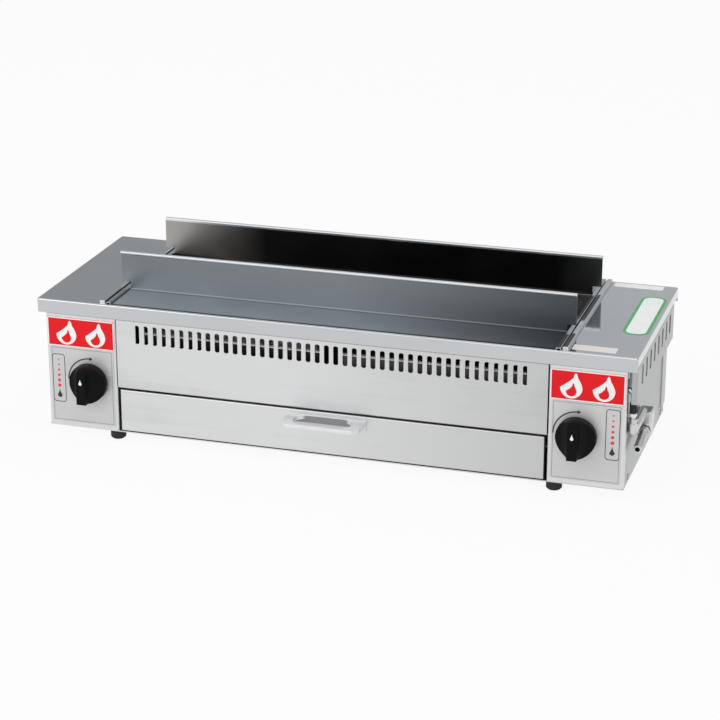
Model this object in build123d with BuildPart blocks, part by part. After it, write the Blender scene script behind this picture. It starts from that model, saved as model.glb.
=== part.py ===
from build123d import *
import os

os.makedirs("parts", exist_ok=True)

# Overall sizes, in millimetres
plate_width = 680.0
plate_depth = 247.5
cabinet_height = 150.0
foot_height = 12.0
handle_reach = 33.0

# Sheet metal
sheet = 1.2
thin_sheet = 0.8
bend = 2.4
seam = 0.3

# Top plate
front_skirt = 16.0
side_skirt = 11.2
rim_width = 2.4
ledge_width = 9.0
ledge_drop = 1.5
end_plate_width = 81.0
lip_width = 6.0
lip_height = 3.5

# Cabinet
side_inset = 10.0
panel_width = 84.0
panel_return = 13.0
corner_return = 6.0
wall_flange = 12.0
rear_return = 26.0
cover_drop = 53.0
cover_length = 220.5
cover_setback = 3.5

# Front vent row
slot_count = 43
slot_end_margin = 25.5
slot_height = 21.6
slot_width = 4.0
slot_drop = 31.8
vent_panel_height = 81.4

# Side and rear vents
side_slot_count = 8
side_slot_pitch = 24.0
side_slot_width = 9.0
side_slot_drop = 28.0
first_side_slot = 31.5
rear_slot_count = 16
rear_slot_margin = 135.0

# Skewer rests and what carries them
rest_height = 44.7
rest_overhang = 2.5
rest_shoulder = 8.5
rest_roll = 4.0
front_rest_depth = 62.0
rear_rest_depth = 51.0
rail_width = 6.0
rail_rise = 2.5
rail_gap = 1.2
partition_setback = 8.5
case_wall_gap = 3.4
case_flange = 10.0
case_bottom_drop = 96.0

# Drip tray
tray_front_height = 49.0
tray_gap = 3.0
tray_front_depth = 8.0
tray_top_gap = 1.5
pan_wall_gap = 7.3
pan_height = 33.0
pan_length = 220.0
pan_rise = 2.3
pan_corner = 12.0
runner_leg = 12.0
handle_width = 90.0
handle_drop = 104.0
handle_sheet = 1.8
rivet_radius = 3.4
handle_slot_length = 66.0
handle_dish_width = 27.0
handle_slot_offset = 2.2
handle_thickness = 4.0
handle_corner = 7.0
rivet_pitch = 78.0

# Burners
burner_end_room = 22.5
burner_width = 96.0
burner_height = 28.0
burner_inner_end = 12.0
burner_drop = 46.0
tile_count = 4
tile_gap = 1.0
tile_height = 13.0
tile_margin = 4.0
guard_bar = 4.0
guard_windows = 10
shield_offset = 10.0
shield_inner_end = 10.0
shield_end_room = 34.5
shield_drop = 36.7
bar_width = 14.0
bar_drop = 10.0

# Gas line and controls
knob_inset = 32.5
knob_drop = 92.5
knob_radius = 22.0
knob_tip_radius = 15.2
knob_reach = 29.4
knob_skirt = 6.0
knob_bar_width = 11.8
knob_bar_end = 18.8
push_travel = 3.0
spindle_diameter = 8.0
running_clearance = 0.05
valve_diameter = 26.0
valve_length = 42.0
valve_flange = 46.0
valve_bore_depth = 22.0
port_diameter = 16.0
port_reach = 18.0
manifold_diameter = 12.0
manifold_offset = 34.0
manifold_rise = 7.5
feed_diameter = 8.0
throat_radius = 8.0
riser_standoff = 5.0
riser_offset = 12.0
riser_diameter = 6.0
riser_top_drop = 40.0
sleeve_drop = 54.0
sleeve_length = 11.0
ring_drop = 65.5
ring_length = 3.5
union_drop = 76.5
union_nut_height = 5.0
union_length = 9.0
neck_radius = 5.2
block_offset = 66.0
block_depth = 20.0
block_standoff = 16.0
block_top_drop = 84.0
block_bottom_drop = 112.0
nozzle_standoff = 9.5
nozzle_drop = 104.5
nozzle_radius = 4.75
nozzle_length = 36.0
nozzle_tilt = 8.0
nozzle_bore = 5.5
hexagon_height = 5.0
groove_width = 1.2
groove_depth = 0.45

# Plates on the control panels
dial_width = 76.0
dial_height = 90.0
dial_thickness = 0.5
badge_width = 80.0
badge_height = 34.0
badge_thickness = 0.6
badge_drop = 20.0
label_inset = 4.5

# Feet
foot_diameter = 17.5
foot_end_inset = 77.5
foot_inset = 13.0

# Places worked out from the sizes
front_y = (handle_reach - plate_depth) / 2
rear_y = front_y + plate_depth
middle_y = (front_y + rear_y) / 2
back_y = rear_y - sheet - seam - sheet / 2
base_z = foot_height
floor_z = base_z + sheet
top_z = base_z + cabinet_height
plate_under_z = top_z - sheet
skirt_z = top_z - front_skirt
half_plate = plate_width / 2
half_cabinet = half_plate - side_inset
panel_inner = half_cabinet - panel_width
slot_pitch = 2 * (panel_inner - slot_end_margin) / (slot_count - 1)
rear_slot_pitch = 2 * (half_cabinet - rear_slot_margin) / (rear_slot_count - 1)
foot_x = half_cabinet - foot_end_inset
opening_half = half_plate - end_plate_width
rest_width = 2 * (opening_half + rest_overhang)
rail_outer = opening_half - rail_gap
rail_inner = rail_outer - rail_width
shelf_half = rail_inner - rail_gap / 2
shelf_z = top_z - ledge_drop
panel_top_z = skirt_z - seam
vent_bottom_z = panel_top_z - vent_panel_height
case_bottom_z = top_z - case_bottom_drop
rear_top_z = shelf_z - sheet - seam
front_wall_y = front_y + front_rest_depth
rear_wall_y = rear_y - rear_rest_depth
case_front_y = front_wall_y - case_wall_gap - sheet
case_rear_y = rear_wall_y + case_wall_gap + sheet
partition_x = panel_inner + partition_setback
case_half = partition_x - sheet / 2 - seam
burner_length = partition_x - burner_inner_end - burner_end_room
shield_length = partition_x - shield_inner_end - shield_end_room
tray_half = panel_inner - tray_gap
tray_front_z = vent_bottom_z - tray_top_gap - tray_front_height
pan_half = tray_half - pan_wall_gap
pan_z = floor_z + pan_rise
pan_top_z = pan_z + pan_height
handle_z = top_z - handle_drop
burner_y = (front_wall_y + rear_wall_y) / 2
burner_top_z = top_z - burner_drop
burner_z = burner_top_z - burner_height
mixer_z = burner_z + burner_height * 0.43
knob_x = panel_inner + knob_inset
knob_z = top_z - knob_drop
manifold_y = front_y + manifold_offset
manifold_z = knob_z + manifold_rise
riser_x = half_cabinet + riser_standoff
riser_y = front_y + riser_offset
nozzle_x = half_cabinet + nozzle_standoff


def section(plane, points, thickness, radius=bend):
    """Section of a folded sheet whose middle line runs through the points."""
    with BuildSketch(plane) as outline:
        with BuildLine():
            FilletPolyline(*points, radius=radius)
        trace(line_width=thickness)
    return outline.sketch


def cross(y):
    """Plane across the cabinet at the depth y, seen from the front."""
    return Plane.XZ.offset(-y)


def save(builder, name):
    builder.part.label = name
    export_step(builder.part, f"parts/{name}.step")


# Top plate: a shallow pan turned over, open in the middle for the two rests
with BuildPart() as top_frame:
    with BuildSketch(Plane.XY.offset(skirt_z)):
        with Locations((0, middle_y)):
            RectangleRounded(plate_width, plate_depth, bend)
    extrude(amount=front_skirt)
    fillet(top_frame.faces().sort_by(Axis.Z)[-1].edges(), bend * 0.8)
    offset(amount=-sheet, openings=top_frame.faces().sort_by(Axis.Z)[0])
    with BuildSketch(Plane.YZ) as side_cut:
        with Locations((middle_y, skirt_z)):
            Rectangle(plate_depth - 2 * bend, 2 * (front_skirt - side_skirt))
    extrude(amount=plate_width, both=True, mode=Mode.SUBTRACT)
    with BuildSketch(Plane.XY.offset(top_z)) as opening:
        with Locations((0, middle_y)):
            Rectangle(2 * opening_half, plate_depth - 2 * rim_width)
    extrude(amount=-2 * sheet, mode=Mode.SUBTRACT)
    with BuildSketch(Plane.XY.offset(top_z)) as lips:
        with Locations(*[(side * (opening_half + lip_width / 2), middle_y) for side in (-1, 1)]):
            Rectangle(lip_width, plate_depth - 2 * bend - rim_width)
    extrude(amount=lip_height)
    lip_tops = top_frame.faces().filter_by(Axis.Z).group_by(Axis.Z)[-1]
    fillet(lip_tops.edges(), lip_height * 0.35)
    with BuildSketch(Plane.XY.offset(shelf_z)) as ledges:
        for end, turn in ((front_y, 1), (rear_y, -1)):
            with Locations((0, end + turn * (sheet + ledge_width / 2))):
                Rectangle(2 * opening_half, ledge_width)
    extrude(amount=-sheet)
save(top_frame, "top_frame")


# Skewer rest: a flat shelf with an upright wall, its top edge rolled over
def skewer_rest(builder, wall_y, shelf_end_y, outward):
    shelf_mid_z = top_z - ledge_drop / 2
    face = wall_y + outward * ledge_drop / 2
    wall_top = top_z + rest_height - rest_roll / 2
    profile = section(
        Plane.YZ, [(shelf_end_y, shelf_mid_z), (face, shelf_mid_z), (face, wall_top)], ledge_drop
    )
    extrude(profile, amount=shelf_half, both=True)
    with BuildSketch(Plane.YZ) as upper_wall:
        with Locations((face, (top_z + rest_shoulder + wall_top) / 2)):
            Rectangle(ledge_drop, wall_top - top_z - rest_shoulder)
    extrude(upper_wall.sketch, amount=rest_width / 2, both=True)
    with BuildSketch(Plane.YZ) as roll:
        with Locations((face + outward * (rest_roll - ledge_drop) / 2, wall_top)):
            Circle(rest_roll / 2)
            Circle(rest_roll / 2 - thin_sheet, mode=Mode.SUBTRACT)
    extrude(roll.sketch, amount=rest_width / 2, both=True)


with BuildPart() as front_skewer_rest:
    skewer_rest(front_skewer_rest, front_wall_y, front_y + rim_width + seam, -1)
save(front_skewer_rest, "front_skewer_rest")

with BuildPart() as rear_skewer_rest:
    skewer_rest(rear_skewer_rest, rear_wall_y, rear_y - rim_width - seam, 1)
save(rear_skewer_rest, "rear_skewer_rest")


# Burner case: front and rear walls between the partitions, with a flange under each shelf
with BuildPart() as case_front_wall:
    fold_y = case_front_y + sheet / 2
    flange_z = shelf_z - sheet / 2
    points = [(fold_y - case_flange, flange_z), (fold_y, flange_z), (fold_y, case_bottom_z)]
    extrude(section(Plane.YZ, points, sheet), amount=case_half, both=True)
save(case_front_wall, "case_front_wall")

with BuildPart() as case_rear_wall:
    fold_y = case_rear_y - sheet / 2
    points = [(fold_y + case_flange, flange_z), (fold_y, flange_z), (fold_y, case_bottom_z)]
    extrude(section(Plane.YZ, points, sheet), amount=case_half, both=True)
save(case_rear_wall, "case_rear_wall")

# Front vent panel: a folded face with a row of round ended slots
with BuildPart() as front_vent_panel:
    face_y = front_y + seam + sheet / 2
    upper_z = panel_top_z - sheet / 2
    lower_z = vent_bottom_z + sheet / 2
    flange_y = front_y + wall_flange
    points = [(flange_y, upper_z), (face_y, upper_z), (face_y, lower_z), (flange_y, lower_z)]
    extrude(section(Plane.YZ, points, sheet), amount=panel_inner - 2 * seam, both=True)
    with BuildSketch(cross(front_y)) as vents:
        with Locations((0, top_z - slot_drop)):
            with GridLocations(slot_pitch, 1, slot_count, 1):
                SlotOverall(slot_height, slot_width, rotation=90)
    extrude(amount=-wall_flange / 2, mode=Mode.SUBTRACT)
save(front_vent_panel, "front_vent_panel")

# Rear panel: its ends wrap round the side walls, below the side covers
with BuildPart() as rear_panel:
    wrap_x = half_cabinet + sheet / 2
    wrap_y = back_y - rear_return
    points = [(wrap_x, wrap_y), (wrap_x, back_y), (-wrap_x, back_y), (-wrap_x, wrap_y)]
    wrap_height = cabinet_height - cover_drop - 2 * wall_flange
    wrap = section(Plane.XY.offset(base_z + wall_flange), points, sheet)
    extrude(wrap, amount=wrap_height)
    with BuildSketch(cross(back_y + sheet / 2)) as back_face:
        with Locations((0, (base_z + seam + rear_top_z) / 2)):
            Rectangle(2 * half_cabinet - 2 * bend, rear_top_z - base_z - seam)
    extrude(amount=sheet)
    with BuildSketch(cross(back_y)) as back_vents:
        with Locations((0, top_z - slot_drop)):
            with GridLocations(rear_slot_pitch, 1, rear_slot_count, 1):
                SlotOverall(slot_height, slot_width, rotation=90)
    extrude(amount=wall_flange / 2, both=True, mode=Mode.SUBTRACT)
save(rear_panel, "rear_panel")

# Base plate, with a clearance hole over each foot
foot_places = [(side * foot_x, y) for side in (-1, 1) for y in (front_y + foot_inset, rear_y - foot_inset)]
foot_hole = foot_diameter * 0.3
with BuildPart() as base_plate:
    base_depth = back_y - sheet / 2 - seam - front_y
    with BuildSketch(Plane.XY.offset(base_z)):
        with Locations((0, front_y + base_depth / 2)):
            Rectangle(2 * half_cabinet, base_depth)
        with Locations(*foot_places):
            Circle(foot_hole / 2, mode=Mode.SUBTRACT)
    extrude(amount=sheet)
save(base_plate, "base_plate")

# Rubber feet, each with a plug that seats in the base plate's hole
with BuildPart() as feet:
    for place in foot_places:
        with BuildSketch(Plane(origin=(place[0], place[1], 0), x_dir=(1, 0, 0), z_dir=(0, -1, 0))) as foot:
            with BuildLine():
                Polyline(
                    (0, 0),
                    (foot_diameter / 2 - 1.8, 0),
                    (foot_diameter / 2, foot_height * 0.15),
                    (foot_diameter / 2, foot_height),
                    (foot_hole / 2 - seam, foot_height),
                    (foot_hole / 2 - seam, floor_z - seam),
                    (0, floor_z - seam),
                    close=True,
                )
            make_face()
        revolve(axis=Axis((place[0], place[1], 0), (0, 0, 1)))
save(feet, "feet")

# Drip tray: the front, the pan behind it, its handle and the runners
with BuildPart() as tray_front:
    with BuildSketch(cross(front_y + seam)) as front_face:
        with Locations((0, tray_front_z + tray_front_height / 2)):
            Rectangle(2 * tray_half, tray_front_height)
    extrude(amount=-tray_front_depth)
    fillet(tray_front.faces().sort_by(Axis.Y)[0].edges(), sheet)
    offset(amount=-thin_sheet, openings=tray_front.faces().sort_by(Axis.Y)[-1])
save(tray_front, "tray_front")

pan_front_y = front_y + seam + tray_front_depth
with BuildPart() as drip_pan:
    with BuildSketch(Plane.XY.offset(pan_z)) as pan_floor:
        with Locations((0, pan_front_y + pan_length / 2)):
            RectangleRounded(2 * pan_half, pan_length, pan_corner)
    extrude(amount=pan_height)
    fillet(drip_pan.faces().sort_by(Axis.Z)[0].edges(), pan_corner / 3)
    offset(amount=-thin_sheet, openings=drip_pan.faces().sort_by(Axis.Z)[-1])
    with BuildSketch(Plane.XY.offset(pan_top_z - thin_sheet)) as pan_flange:
        with Locations((0, pan_front_y + pan_length / 2)):
            Rectangle(2 * tray_half, pan_length)
            RectangleRounded(
                2 * (pan_half - thin_sheet), pan_length - 2 * thin_sheet, pan_corner - thin_sheet,
                mode=Mode.SUBTRACT,
            )
    extrude(amount=thin_sheet)
save(drip_pan, "drip_pan")

handle_front_y = front_y - handle_reach
dish_rear_y = front_y - handle_slot_offset
dish_middle_y = dish_rear_y - handle_dish_width / 2
with BuildPart() as finger_dish:
    with BuildSketch(Plane.XY.offset(handle_z)) as dish_outline:
        with Locations((0, dish_middle_y)):
            SlotOverall(handle_slot_length, handle_dish_width)
    extrude(amount=-handle_thickness)
    with BuildSketch(Plane.YZ) as dish_profile:
        Polygon(
            (dish_rear_y, handle_z),
            (dish_rear_y - handle_dish_width, handle_z),
            (dish_middle_y, handle_z - handle_thickness * 0.6),
            (dish_middle_y, handle_z - handle_thickness),
            (dish_rear_y, handle_z - handle_thickness),
            align=None,
        )
    extrude(amount=handle_width, both=True, mode=Mode.INTERSECT)

with BuildPart() as tray_handle:
    with BuildSketch(Plane.XY.offset(handle_z)) as handle_plate:
        with BuildLine():
            Polyline(
                (-handle_width / 2, front_y + seam),
                (-handle_width / 2, handle_front_y + handle_corner),
                (-handle_width / 2 + handle_corner, handle_front_y),
                (handle_width / 2 - handle_corner, handle_front_y),
                (handle_width / 2, handle_front_y + handle_corner),
                (handle_width / 2, front_y + seam),
                close=True,
            )
        make_face()
        fillet(handle_plate.vertices().group_by(Axis.Y)[0], handle_corner / 2)
        fillet(handle_plate.vertices().group_by(Axis.Y)[-2], handle_corner / 2)
    extrude(amount=-handle_thickness)
    add(finger_dish.part, mode=Mode.SUBTRACT)
    lip = tray_handle.faces().filter_by(Axis.Z).sort_by(Axis.Z)[-1].outer_wire().edges()
    fillet(lip.filter_by(lambda edge: edge.center().Y < front_y - 1), handle_thickness / 4)
    with BuildSketch(Plane.XY.offset(handle_z)) as fixing_leg:
        with Locations((0, front_y + seam - handle_sheet / 2)):
            Rectangle(handle_width, handle_sheet)
    extrude(amount=-runner_leg)
save(tray_handle, "tray_handle")

with BuildPart() as handle_rivets:
    rivet_z = handle_z - (handle_thickness + runner_leg) / 2
    with BuildSketch(cross(front_y + seam - handle_sheet)) as rivet_heads:
        with Locations((0, rivet_z)):
            with GridLocations(rivet_pitch, 1, 2, 1):
                Circle(rivet_radius)
    extrude(amount=handle_sheet * 0.6)
    chamfer(handle_rivets.faces().filter_by(Axis.Y).group_by(Axis.Y)[0].edges(), handle_sheet * 0.3)
save(handle_rivets, "handle_rivets")

with BuildPart() as tray_runners:
    wall_x = partition_x - sheet
    leg_z = pan_top_z - thin_sheet - seam - sheet / 2
    start_y = front_y + panel_return + 1
    for side in (-1, 1):
        points = [
            (side * (pan_half + 2), leg_z),
            (side * wall_x, leg_z),
            (side * wall_x, leg_z - runner_leg),
        ]
        extrude(section(cross(start_y), points, sheet), amount=-(plate_depth - panel_return - 5))
save(tray_runners, "tray_runners")

# Bars across the burner case that carry the burners
with BuildPart() as burner_crossbars:
    bar_z = burner_z - sheet / 2
    bar_length = case_rear_y - case_front_y - 2 * sheet
    quarter = burner_length / 4
    burner_mid = burner_inner_end + burner_length / 2
    for x in [side * (burner_mid + shift) for side in (-1, 1) for shift in (-quarter, quarter)]:
        points = [(x - bar_width / 2, bar_z), (x + bar_width / 2, bar_z), (x + bar_width / 2, bar_z - bar_drop)]
        extrude(section(cross(case_front_y + sheet), points, sheet), amount=-bar_length)
save(burner_crossbars, "burner_crossbars")

# Guards over the burners: a stamped frame with cross bars each
with BuildPart() as burner_guards:
    window_pitch = (burner_length - guard_bar) / guard_windows
    with BuildSketch(Plane.XY.offset(burner_top_z)) as guards:
        with Locations((-burner_mid, burner_y), (burner_mid, burner_y)):
            RectangleRounded(burner_length, burner_width, 8)
            with GridLocations(window_pitch, 1, guard_windows, 1):
                Rectangle(window_pitch - guard_bar, burner_width - 3 * guard_bar, mode=Mode.SUBTRACT)
    extrude(amount=thin_sheet)
save(burner_guards, "burner_guards")

# Gas manifold across the front, from valve to valve
with BuildPart() as manifold_pipe:
    manifold_end = knob_x - port_reach
    with BuildSketch(Plane.YZ.offset(-manifold_end)) as pipe_ring:
        with Locations((manifold_y, manifold_z)):
            Circle(manifold_diameter / 2)
    extrude(amount=2 * manifold_end)
save(manifold_pipe, "manifold_pipe")

# Riser: up in the right cover's channel, through the side wall and down to the right valve
union_top_z = top_z - union_drop
riser_top_z = top_z - riser_top_drop
drop_x = knob_x + valve_diameter + 2
with BuildPart() as supply_pipe:
    with BuildLine() as route:
        FilletPolyline(
            (riser_x, riser_y, union_top_z),
            (riser_x, riser_y, riser_top_z),
            (drop_x, riser_y, riser_top_z),
            (drop_x, manifold_y, riser_top_z),
            (drop_x, manifold_y, manifold_z),
            (knob_x + port_reach, manifold_y, manifold_z),
            radius=riser_diameter,
        )
    with BuildSketch(Plane(origin=route.line @ 0, z_dir=route.line % 0)):
        Circle(riser_diameter / 2)
    sweep()
save(supply_pipe, "supply_pipe")


def riser_collar(name, drop, length, radius):
    """Ring round the riser, its top at a drop below the top plate."""
    with BuildPart() as collar:
        with BuildSketch(Plane.XY.offset(top_z - drop)):
            with Locations((riser_x, riser_y)):
                Circle(radius)
                Circle(riser_diameter / 2 + running_clearance, mode=Mode.SUBTRACT)
        extrude(amount=-length)
    save(collar, name)


riser_collar("riser_sleeve", sleeve_drop, sleeve_length, 0.65 * riser_diameter)
riser_collar("seal_ring", ring_drop, ring_length, 0.7 * riser_diameter)

with BuildPart() as union_nut:
    with BuildSketch(Plane.XY.offset(union_top_z)):
        with Locations((riser_x, riser_y)):
            RegularPolygon(neck_radius, 6, rotation=30)
            Circle(riser_diameter / 2 + running_clearance, mode=Mode.SUBTRACT)
    extrude(amount=union_nut_height)
save(union_nut, "union_nut")

# Inlet casting on the right side: hose end below, union at the front, pad on the wall
block_outer_x = half_cabinet + block_standoff
block_front_y = front_y + block_offset
block_rear_y = block_front_y + block_depth
block_top_z = top_z - block_top_drop
block_bottom_z = top_z - block_bottom_drop
union_bottom_z = union_top_z - union_length
boss_height = nozzle_radius / 2
nozzle_z = top_z - nozzle_drop
neck_x = half_cabinet + seam + neck_radius
with BuildPart() as inlet_block:
    with BuildSketch(Plane.XY.offset(block_bottom_z)) as casting:
        with Locations(((half_cabinet + seam + block_outer_x) / 2, (block_front_y + block_rear_y) / 2)):
            RectangleRounded(block_outer_x - half_cabinet - seam, block_rear_y - block_front_y, 3)
    extrude(amount=block_top_z - block_bottom_z)
    fillet(inlet_block.faces().sort_by(Axis.Z)[-1].edges(), 2)
    with BuildSketch(cross(block_front_y + 4)) as neck:
        with Locations((neck_x, union_bottom_z)):
            Circle(neck_radius)
    extrude(amount=block_front_y + 4 - riser_y)
    with BuildSketch(Plane.XY.offset(union_top_z)) as union_body:
        with Locations((neck_x, riser_y)):
            Circle(neck_radius)
    extrude(amount=-union_length)
    with BuildSketch(Plane.XY.offset(union_bottom_z)) as elbow:
        with BuildLine():
            CenterArc((neck_x, riser_y), neck_radius, 0, 180)
            Line((neck_x - neck_radius, riser_y), (neck_x + neck_radius, riser_y))
        make_face()
    revolve(axis=Axis((neck_x, riser_y, union_bottom_z), (1, 0, 0)))
    nozzle_plane = Plane(origin=(nozzle_x, block_front_y, nozzle_z), x_dir=(1, 0, 0), z_dir=(0, -1, 0))
    with BuildSketch(nozzle_plane) as boss:
        Circle(1.4 * nozzle_radius)
    extrude(amount=boss_height)
save(inlet_block, "inlet_block")

# Hose nozzle: a grooved tail on a hexagon, tilted a little downwards
with BuildPart() as hose_nozzle:
    tail_plane = Plane(
        origin=(nozzle_x, block_front_y - boss_height - seam, nozzle_z), x_dir=(1, 0, 0), z_dir=(0, -1, 0)
    ).rotated((nozzle_tilt, 0, 0)).offset(1.0)
    with BuildSketch(tail_plane):
        RegularPolygon(1.4 * nozzle_radius, 6)
    extrude(amount=hexagon_height)
    tail = tail_plane.offset(hexagon_height)
    with BuildSketch(tail):
        Circle(nozzle_radius)
    extrude(amount=nozzle_length)
    for groove in range(1, 5):
        with BuildSketch(tail.offset(nozzle_length - 6 * groove)):
            Circle(nozzle_radius)
            Circle(nozzle_radius - groove_depth, mode=Mode.SUBTRACT)
        extrude(amount=groove_width, mode=Mode.SUBTRACT)
    with BuildSketch(tail_plane):
        Circle(nozzle_bore / 2)
    extrude(amount=nozzle_length + hexagon_height, mode=Mode.SUBTRACT)
save(hose_nozzle, "hose_nozzle")

# Screws that hold the side walls
with BuildPart() as side_screws:
    screw_radius = 3.6
    for side in (-1, 1):
        spots = ((front_y + 26, base_z + 5.2), (rear_y - 22, base_z + 5.2))
        with BuildSketch(Plane.YZ.offset(side * half_cabinet)) as heads:
            with Locations(*spots):
                Circle(screw_radius)
        extrude(amount=side * 1.8)
save(side_screws, "side_screws")


def side_depth(side, y):
    """Depth of a place y from the front at the right side, and from the rear at the left."""
    return front_y + y if side > 0 else rear_y - y


# Paired pieces: side is -1 for the left and 1 for the right
def rail(side):
    """Folded rail beside a shelf's end, on the front and rear ledges and the partition."""
    with BuildPart() as piece:
        inner = rail_inner + 0.5
        outer = rail_outer - 0.5
        height = top_z + rail_rise - 0.5
        corners = ((inner, shelf_z), (inner, height), (outer, height), (outer, shelf_z))
        points = [(side * x, z) for x, z in corners]
        length = plate_depth - 2 * rim_width - 2 * seam
        extrude(section(cross(front_y + rim_width + seam), points, 1.0, 1.2), amount=-length)
    return piece


def partition(side):
    """Wall between the burner case and the control space, from the base to the rail."""
    with BuildPart() as piece:
        foot_z = floor_z + sheet / 2
        start_y = front_y + panel_return + 1
        points = [
            (side * (partition_x + wall_flange), foot_z),
            (side * partition_x, foot_z),
            (side * partition_x, shelf_z),
        ]
        length = back_y - sheet / 2 - seam - start_y
        extrude(section(cross(start_y), points, sheet), amount=-length)
        with BuildSketch(Plane.YZ.offset(side * (partition_x - bend))) as holes:
            with Locations((manifold_y, manifold_z)):
                Circle(manifold_diameter / 2 + seam)
            with Locations((burner_y, mixer_z)):
                Circle(2 * throat_radius - 1)
            with Locations((rear_y, shelf_z)):
                Rectangle(2 * (ledge_width + 2 * sheet), 2 * (sheet + seam))
        extrude(amount=side * 2 * bend, mode=Mode.SUBTRACT)
    return piece


def side_wall(side):
    """Side of the cabinet, folded in at the front and rear."""
    with BuildPart() as piece:
        x = side * (half_cabinet - sheet / 2)
        inner = side * (half_cabinet - wall_flange)
        near = front_y + corner_return + seam + sheet / 2
        far = back_y - sheet - seam
        points = [(inner, near), (x, near), (x, far), (inner, far)]
        extrude(section(Plane.XY.offset(floor_z), points, sheet), amount=plate_under_z - floor_z)
        window_start = side_depth(side, first_side_slot - side_slot_width / 2)
        window_end = side_depth(side, first_side_slot + (side_slot_count - 0.5) * side_slot_pitch)
        with BuildSketch(Plane.YZ.offset(side * (half_cabinet - bend))) as vent_window:
            with Locations(((window_start + window_end) / 2, top_z - side_slot_drop)):
                RectangleRounded(abs(window_end - window_start), slot_height, 4)
        extrude(amount=side * 2 * bend, mode=Mode.SUBTRACT)
        if side > 0:
            with BuildSketch(Plane.YZ.offset(half_cabinet - wall_flange)) as riser_hole:
                with Locations((riser_y, riser_top_z)):
                    Circle(riser_diameter / 2 + seam)
            extrude(amount=2 * wall_flange, mode=Mode.SUBTRACT)
    return piece


def side_cover(side):
    """Vented hood on the side wall, under the top plate. The left one is turned end for end."""
    with BuildPart() as piece:
        top = top_z - side_skirt - seam - sheet / 2
        outer = half_plate - sheet / 2
        inner = half_cabinet + sheet / 2
        points = [(side * inner, top - wall_flange), (side * inner, top), (side * outer, top),
                  (side * outer, top_z - cover_drop)]
        start = side_depth(side, cover_setback)
        turn = -1 if side > 0 else 1
        extrude(section(cross(start), points, sheet, 1.8), amount=turn * cover_length)
        flange_height = cover_drop - side_skirt - 3 * sheet
        for edge in (cover_setback, cover_setback + cover_length - sheet):
            with BuildSketch(cross(side_depth(side, edge))) as end_flange:
                with Locations((side * (half_plate - 3.2), top_z - cover_drop + flange_height / 2)):
                    Rectangle(5.6, flange_height)
            extrude(amount=turn * sheet)
        with BuildSketch(Plane.YZ.offset(side * (half_plate - bend))) as vents:
            with Locations(*[(side_depth(side, first_side_slot + i * side_slot_pitch), top_z - side_slot_drop)
                             for i in range(side_slot_count)]):
                RectangleRounded(side_slot_width, slot_height, 3)
        extrude(amount=side * 2 * bend, mode=Mode.SUBTRACT)
    return piece


def control_panel(side):
    """Front panel round the knob, wrapped round the cabinet's corner."""
    with BuildPart() as piece:
        y = front_y + sheet / 2
        outer = side * (half_cabinet - sheet / 2)
        inner = side * (panel_inner + sheet / 2)
        points = [(outer, front_y + corner_return), (outer, y), (inner, y), (inner, front_y + panel_return)]
        extrude(section(Plane.XY.offset(floor_z), points, sheet), amount=panel_top_z - floor_z)
        with BuildSketch(cross(front_y)) as spindle_hole:
            with Locations((side * knob_x, knob_z)):
                Circle(spindle_diameter * 0.75)
        extrude(amount=-wall_flange / 2, mode=Mode.SUBTRACT)
    return piece


label_x = (panel_inner + label_inset + half_cabinet - label_inset) / 2


def dial_plate(side):
    """Thin plate behind the knob, with its corners rounded."""
    with BuildPart() as piece:
        bottom = floor_z + label_inset
        with BuildSketch(cross(front_y)) as face:
            with Locations((side * label_x, bottom + dial_height / 2)):
                RectangleRounded(dial_width, dial_height, 1.5)
            with Locations((side * knob_x, knob_z)):
                Circle(spindle_diameter * 0.75, mode=Mode.SUBTRACT)
        extrude(amount=dial_thickness)
    return piece


def badge_plate(side):
    """Coloured plate at the top of the control panel."""
    with BuildPart() as piece:
        with BuildSketch(cross(front_y)) as face:
            with Locations((side * label_x, top_z - badge_drop - badge_height / 2)):
                Rectangle(badge_width, badge_height)
        extrude(amount=badge_thickness)
    return piece


def front_shield(side):
    """Guard behind the vent slots, from the case's front wall forward and up."""
    with BuildPart() as piece:
        y = front_y + shield_offset + sheet / 2
        top = top_z - shield_drop - sheet / 2
        foot = case_bottom_z + sheet / 2
        points = [(y + 4, top), (y, top), (y, foot), (case_front_y - seam, foot)]
        start = shield_inner_end if side > 0 else -shield_inner_end - shield_length
        extrude(section(Plane.YZ.offset(start), points, sheet, 1.5), amount=shield_length)
    return piece


def burner_body(side):
    """Pressed burner box, open at the top for its tiles, with a hole for the mixing tube."""
    with BuildPart() as piece:
        with BuildSketch(Plane.XY.offset(burner_z)) as floor:
            with Locations((side * burner_mid, burner_y)):
                RectangleRounded(burner_length, burner_width, 8)
        extrude(amount=burner_height)
        fillet(piece.faces().sort_by(Axis.Z)[0].edges(), 5)
        offset(amount=-sheet, openings=piece.faces().sort_by(Axis.Z)[-1])
        with BuildSketch(Plane.XY.offset(burner_top_z - tile_height)) as tile_ledge:
            with Locations((side * burner_mid, burner_y)):
                RectangleRounded(burner_length - sheet, burner_width - sheet, 7.4)
                Rectangle(burner_length - 4 * tile_margin, burner_width - 4 * tile_margin, mode=Mode.SUBTRACT)
        extrude(amount=-sheet)
        end_x = side * (burner_inner_end + burner_length)
        with BuildSketch(Plane.YZ.offset(end_x - side * 4)) as mixer_hole:
            with Locations((burner_y, mixer_z)):
                Circle(throat_radius * 1.2)
        extrude(amount=side * 8, mode=Mode.SUBTRACT)
    return piece


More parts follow.
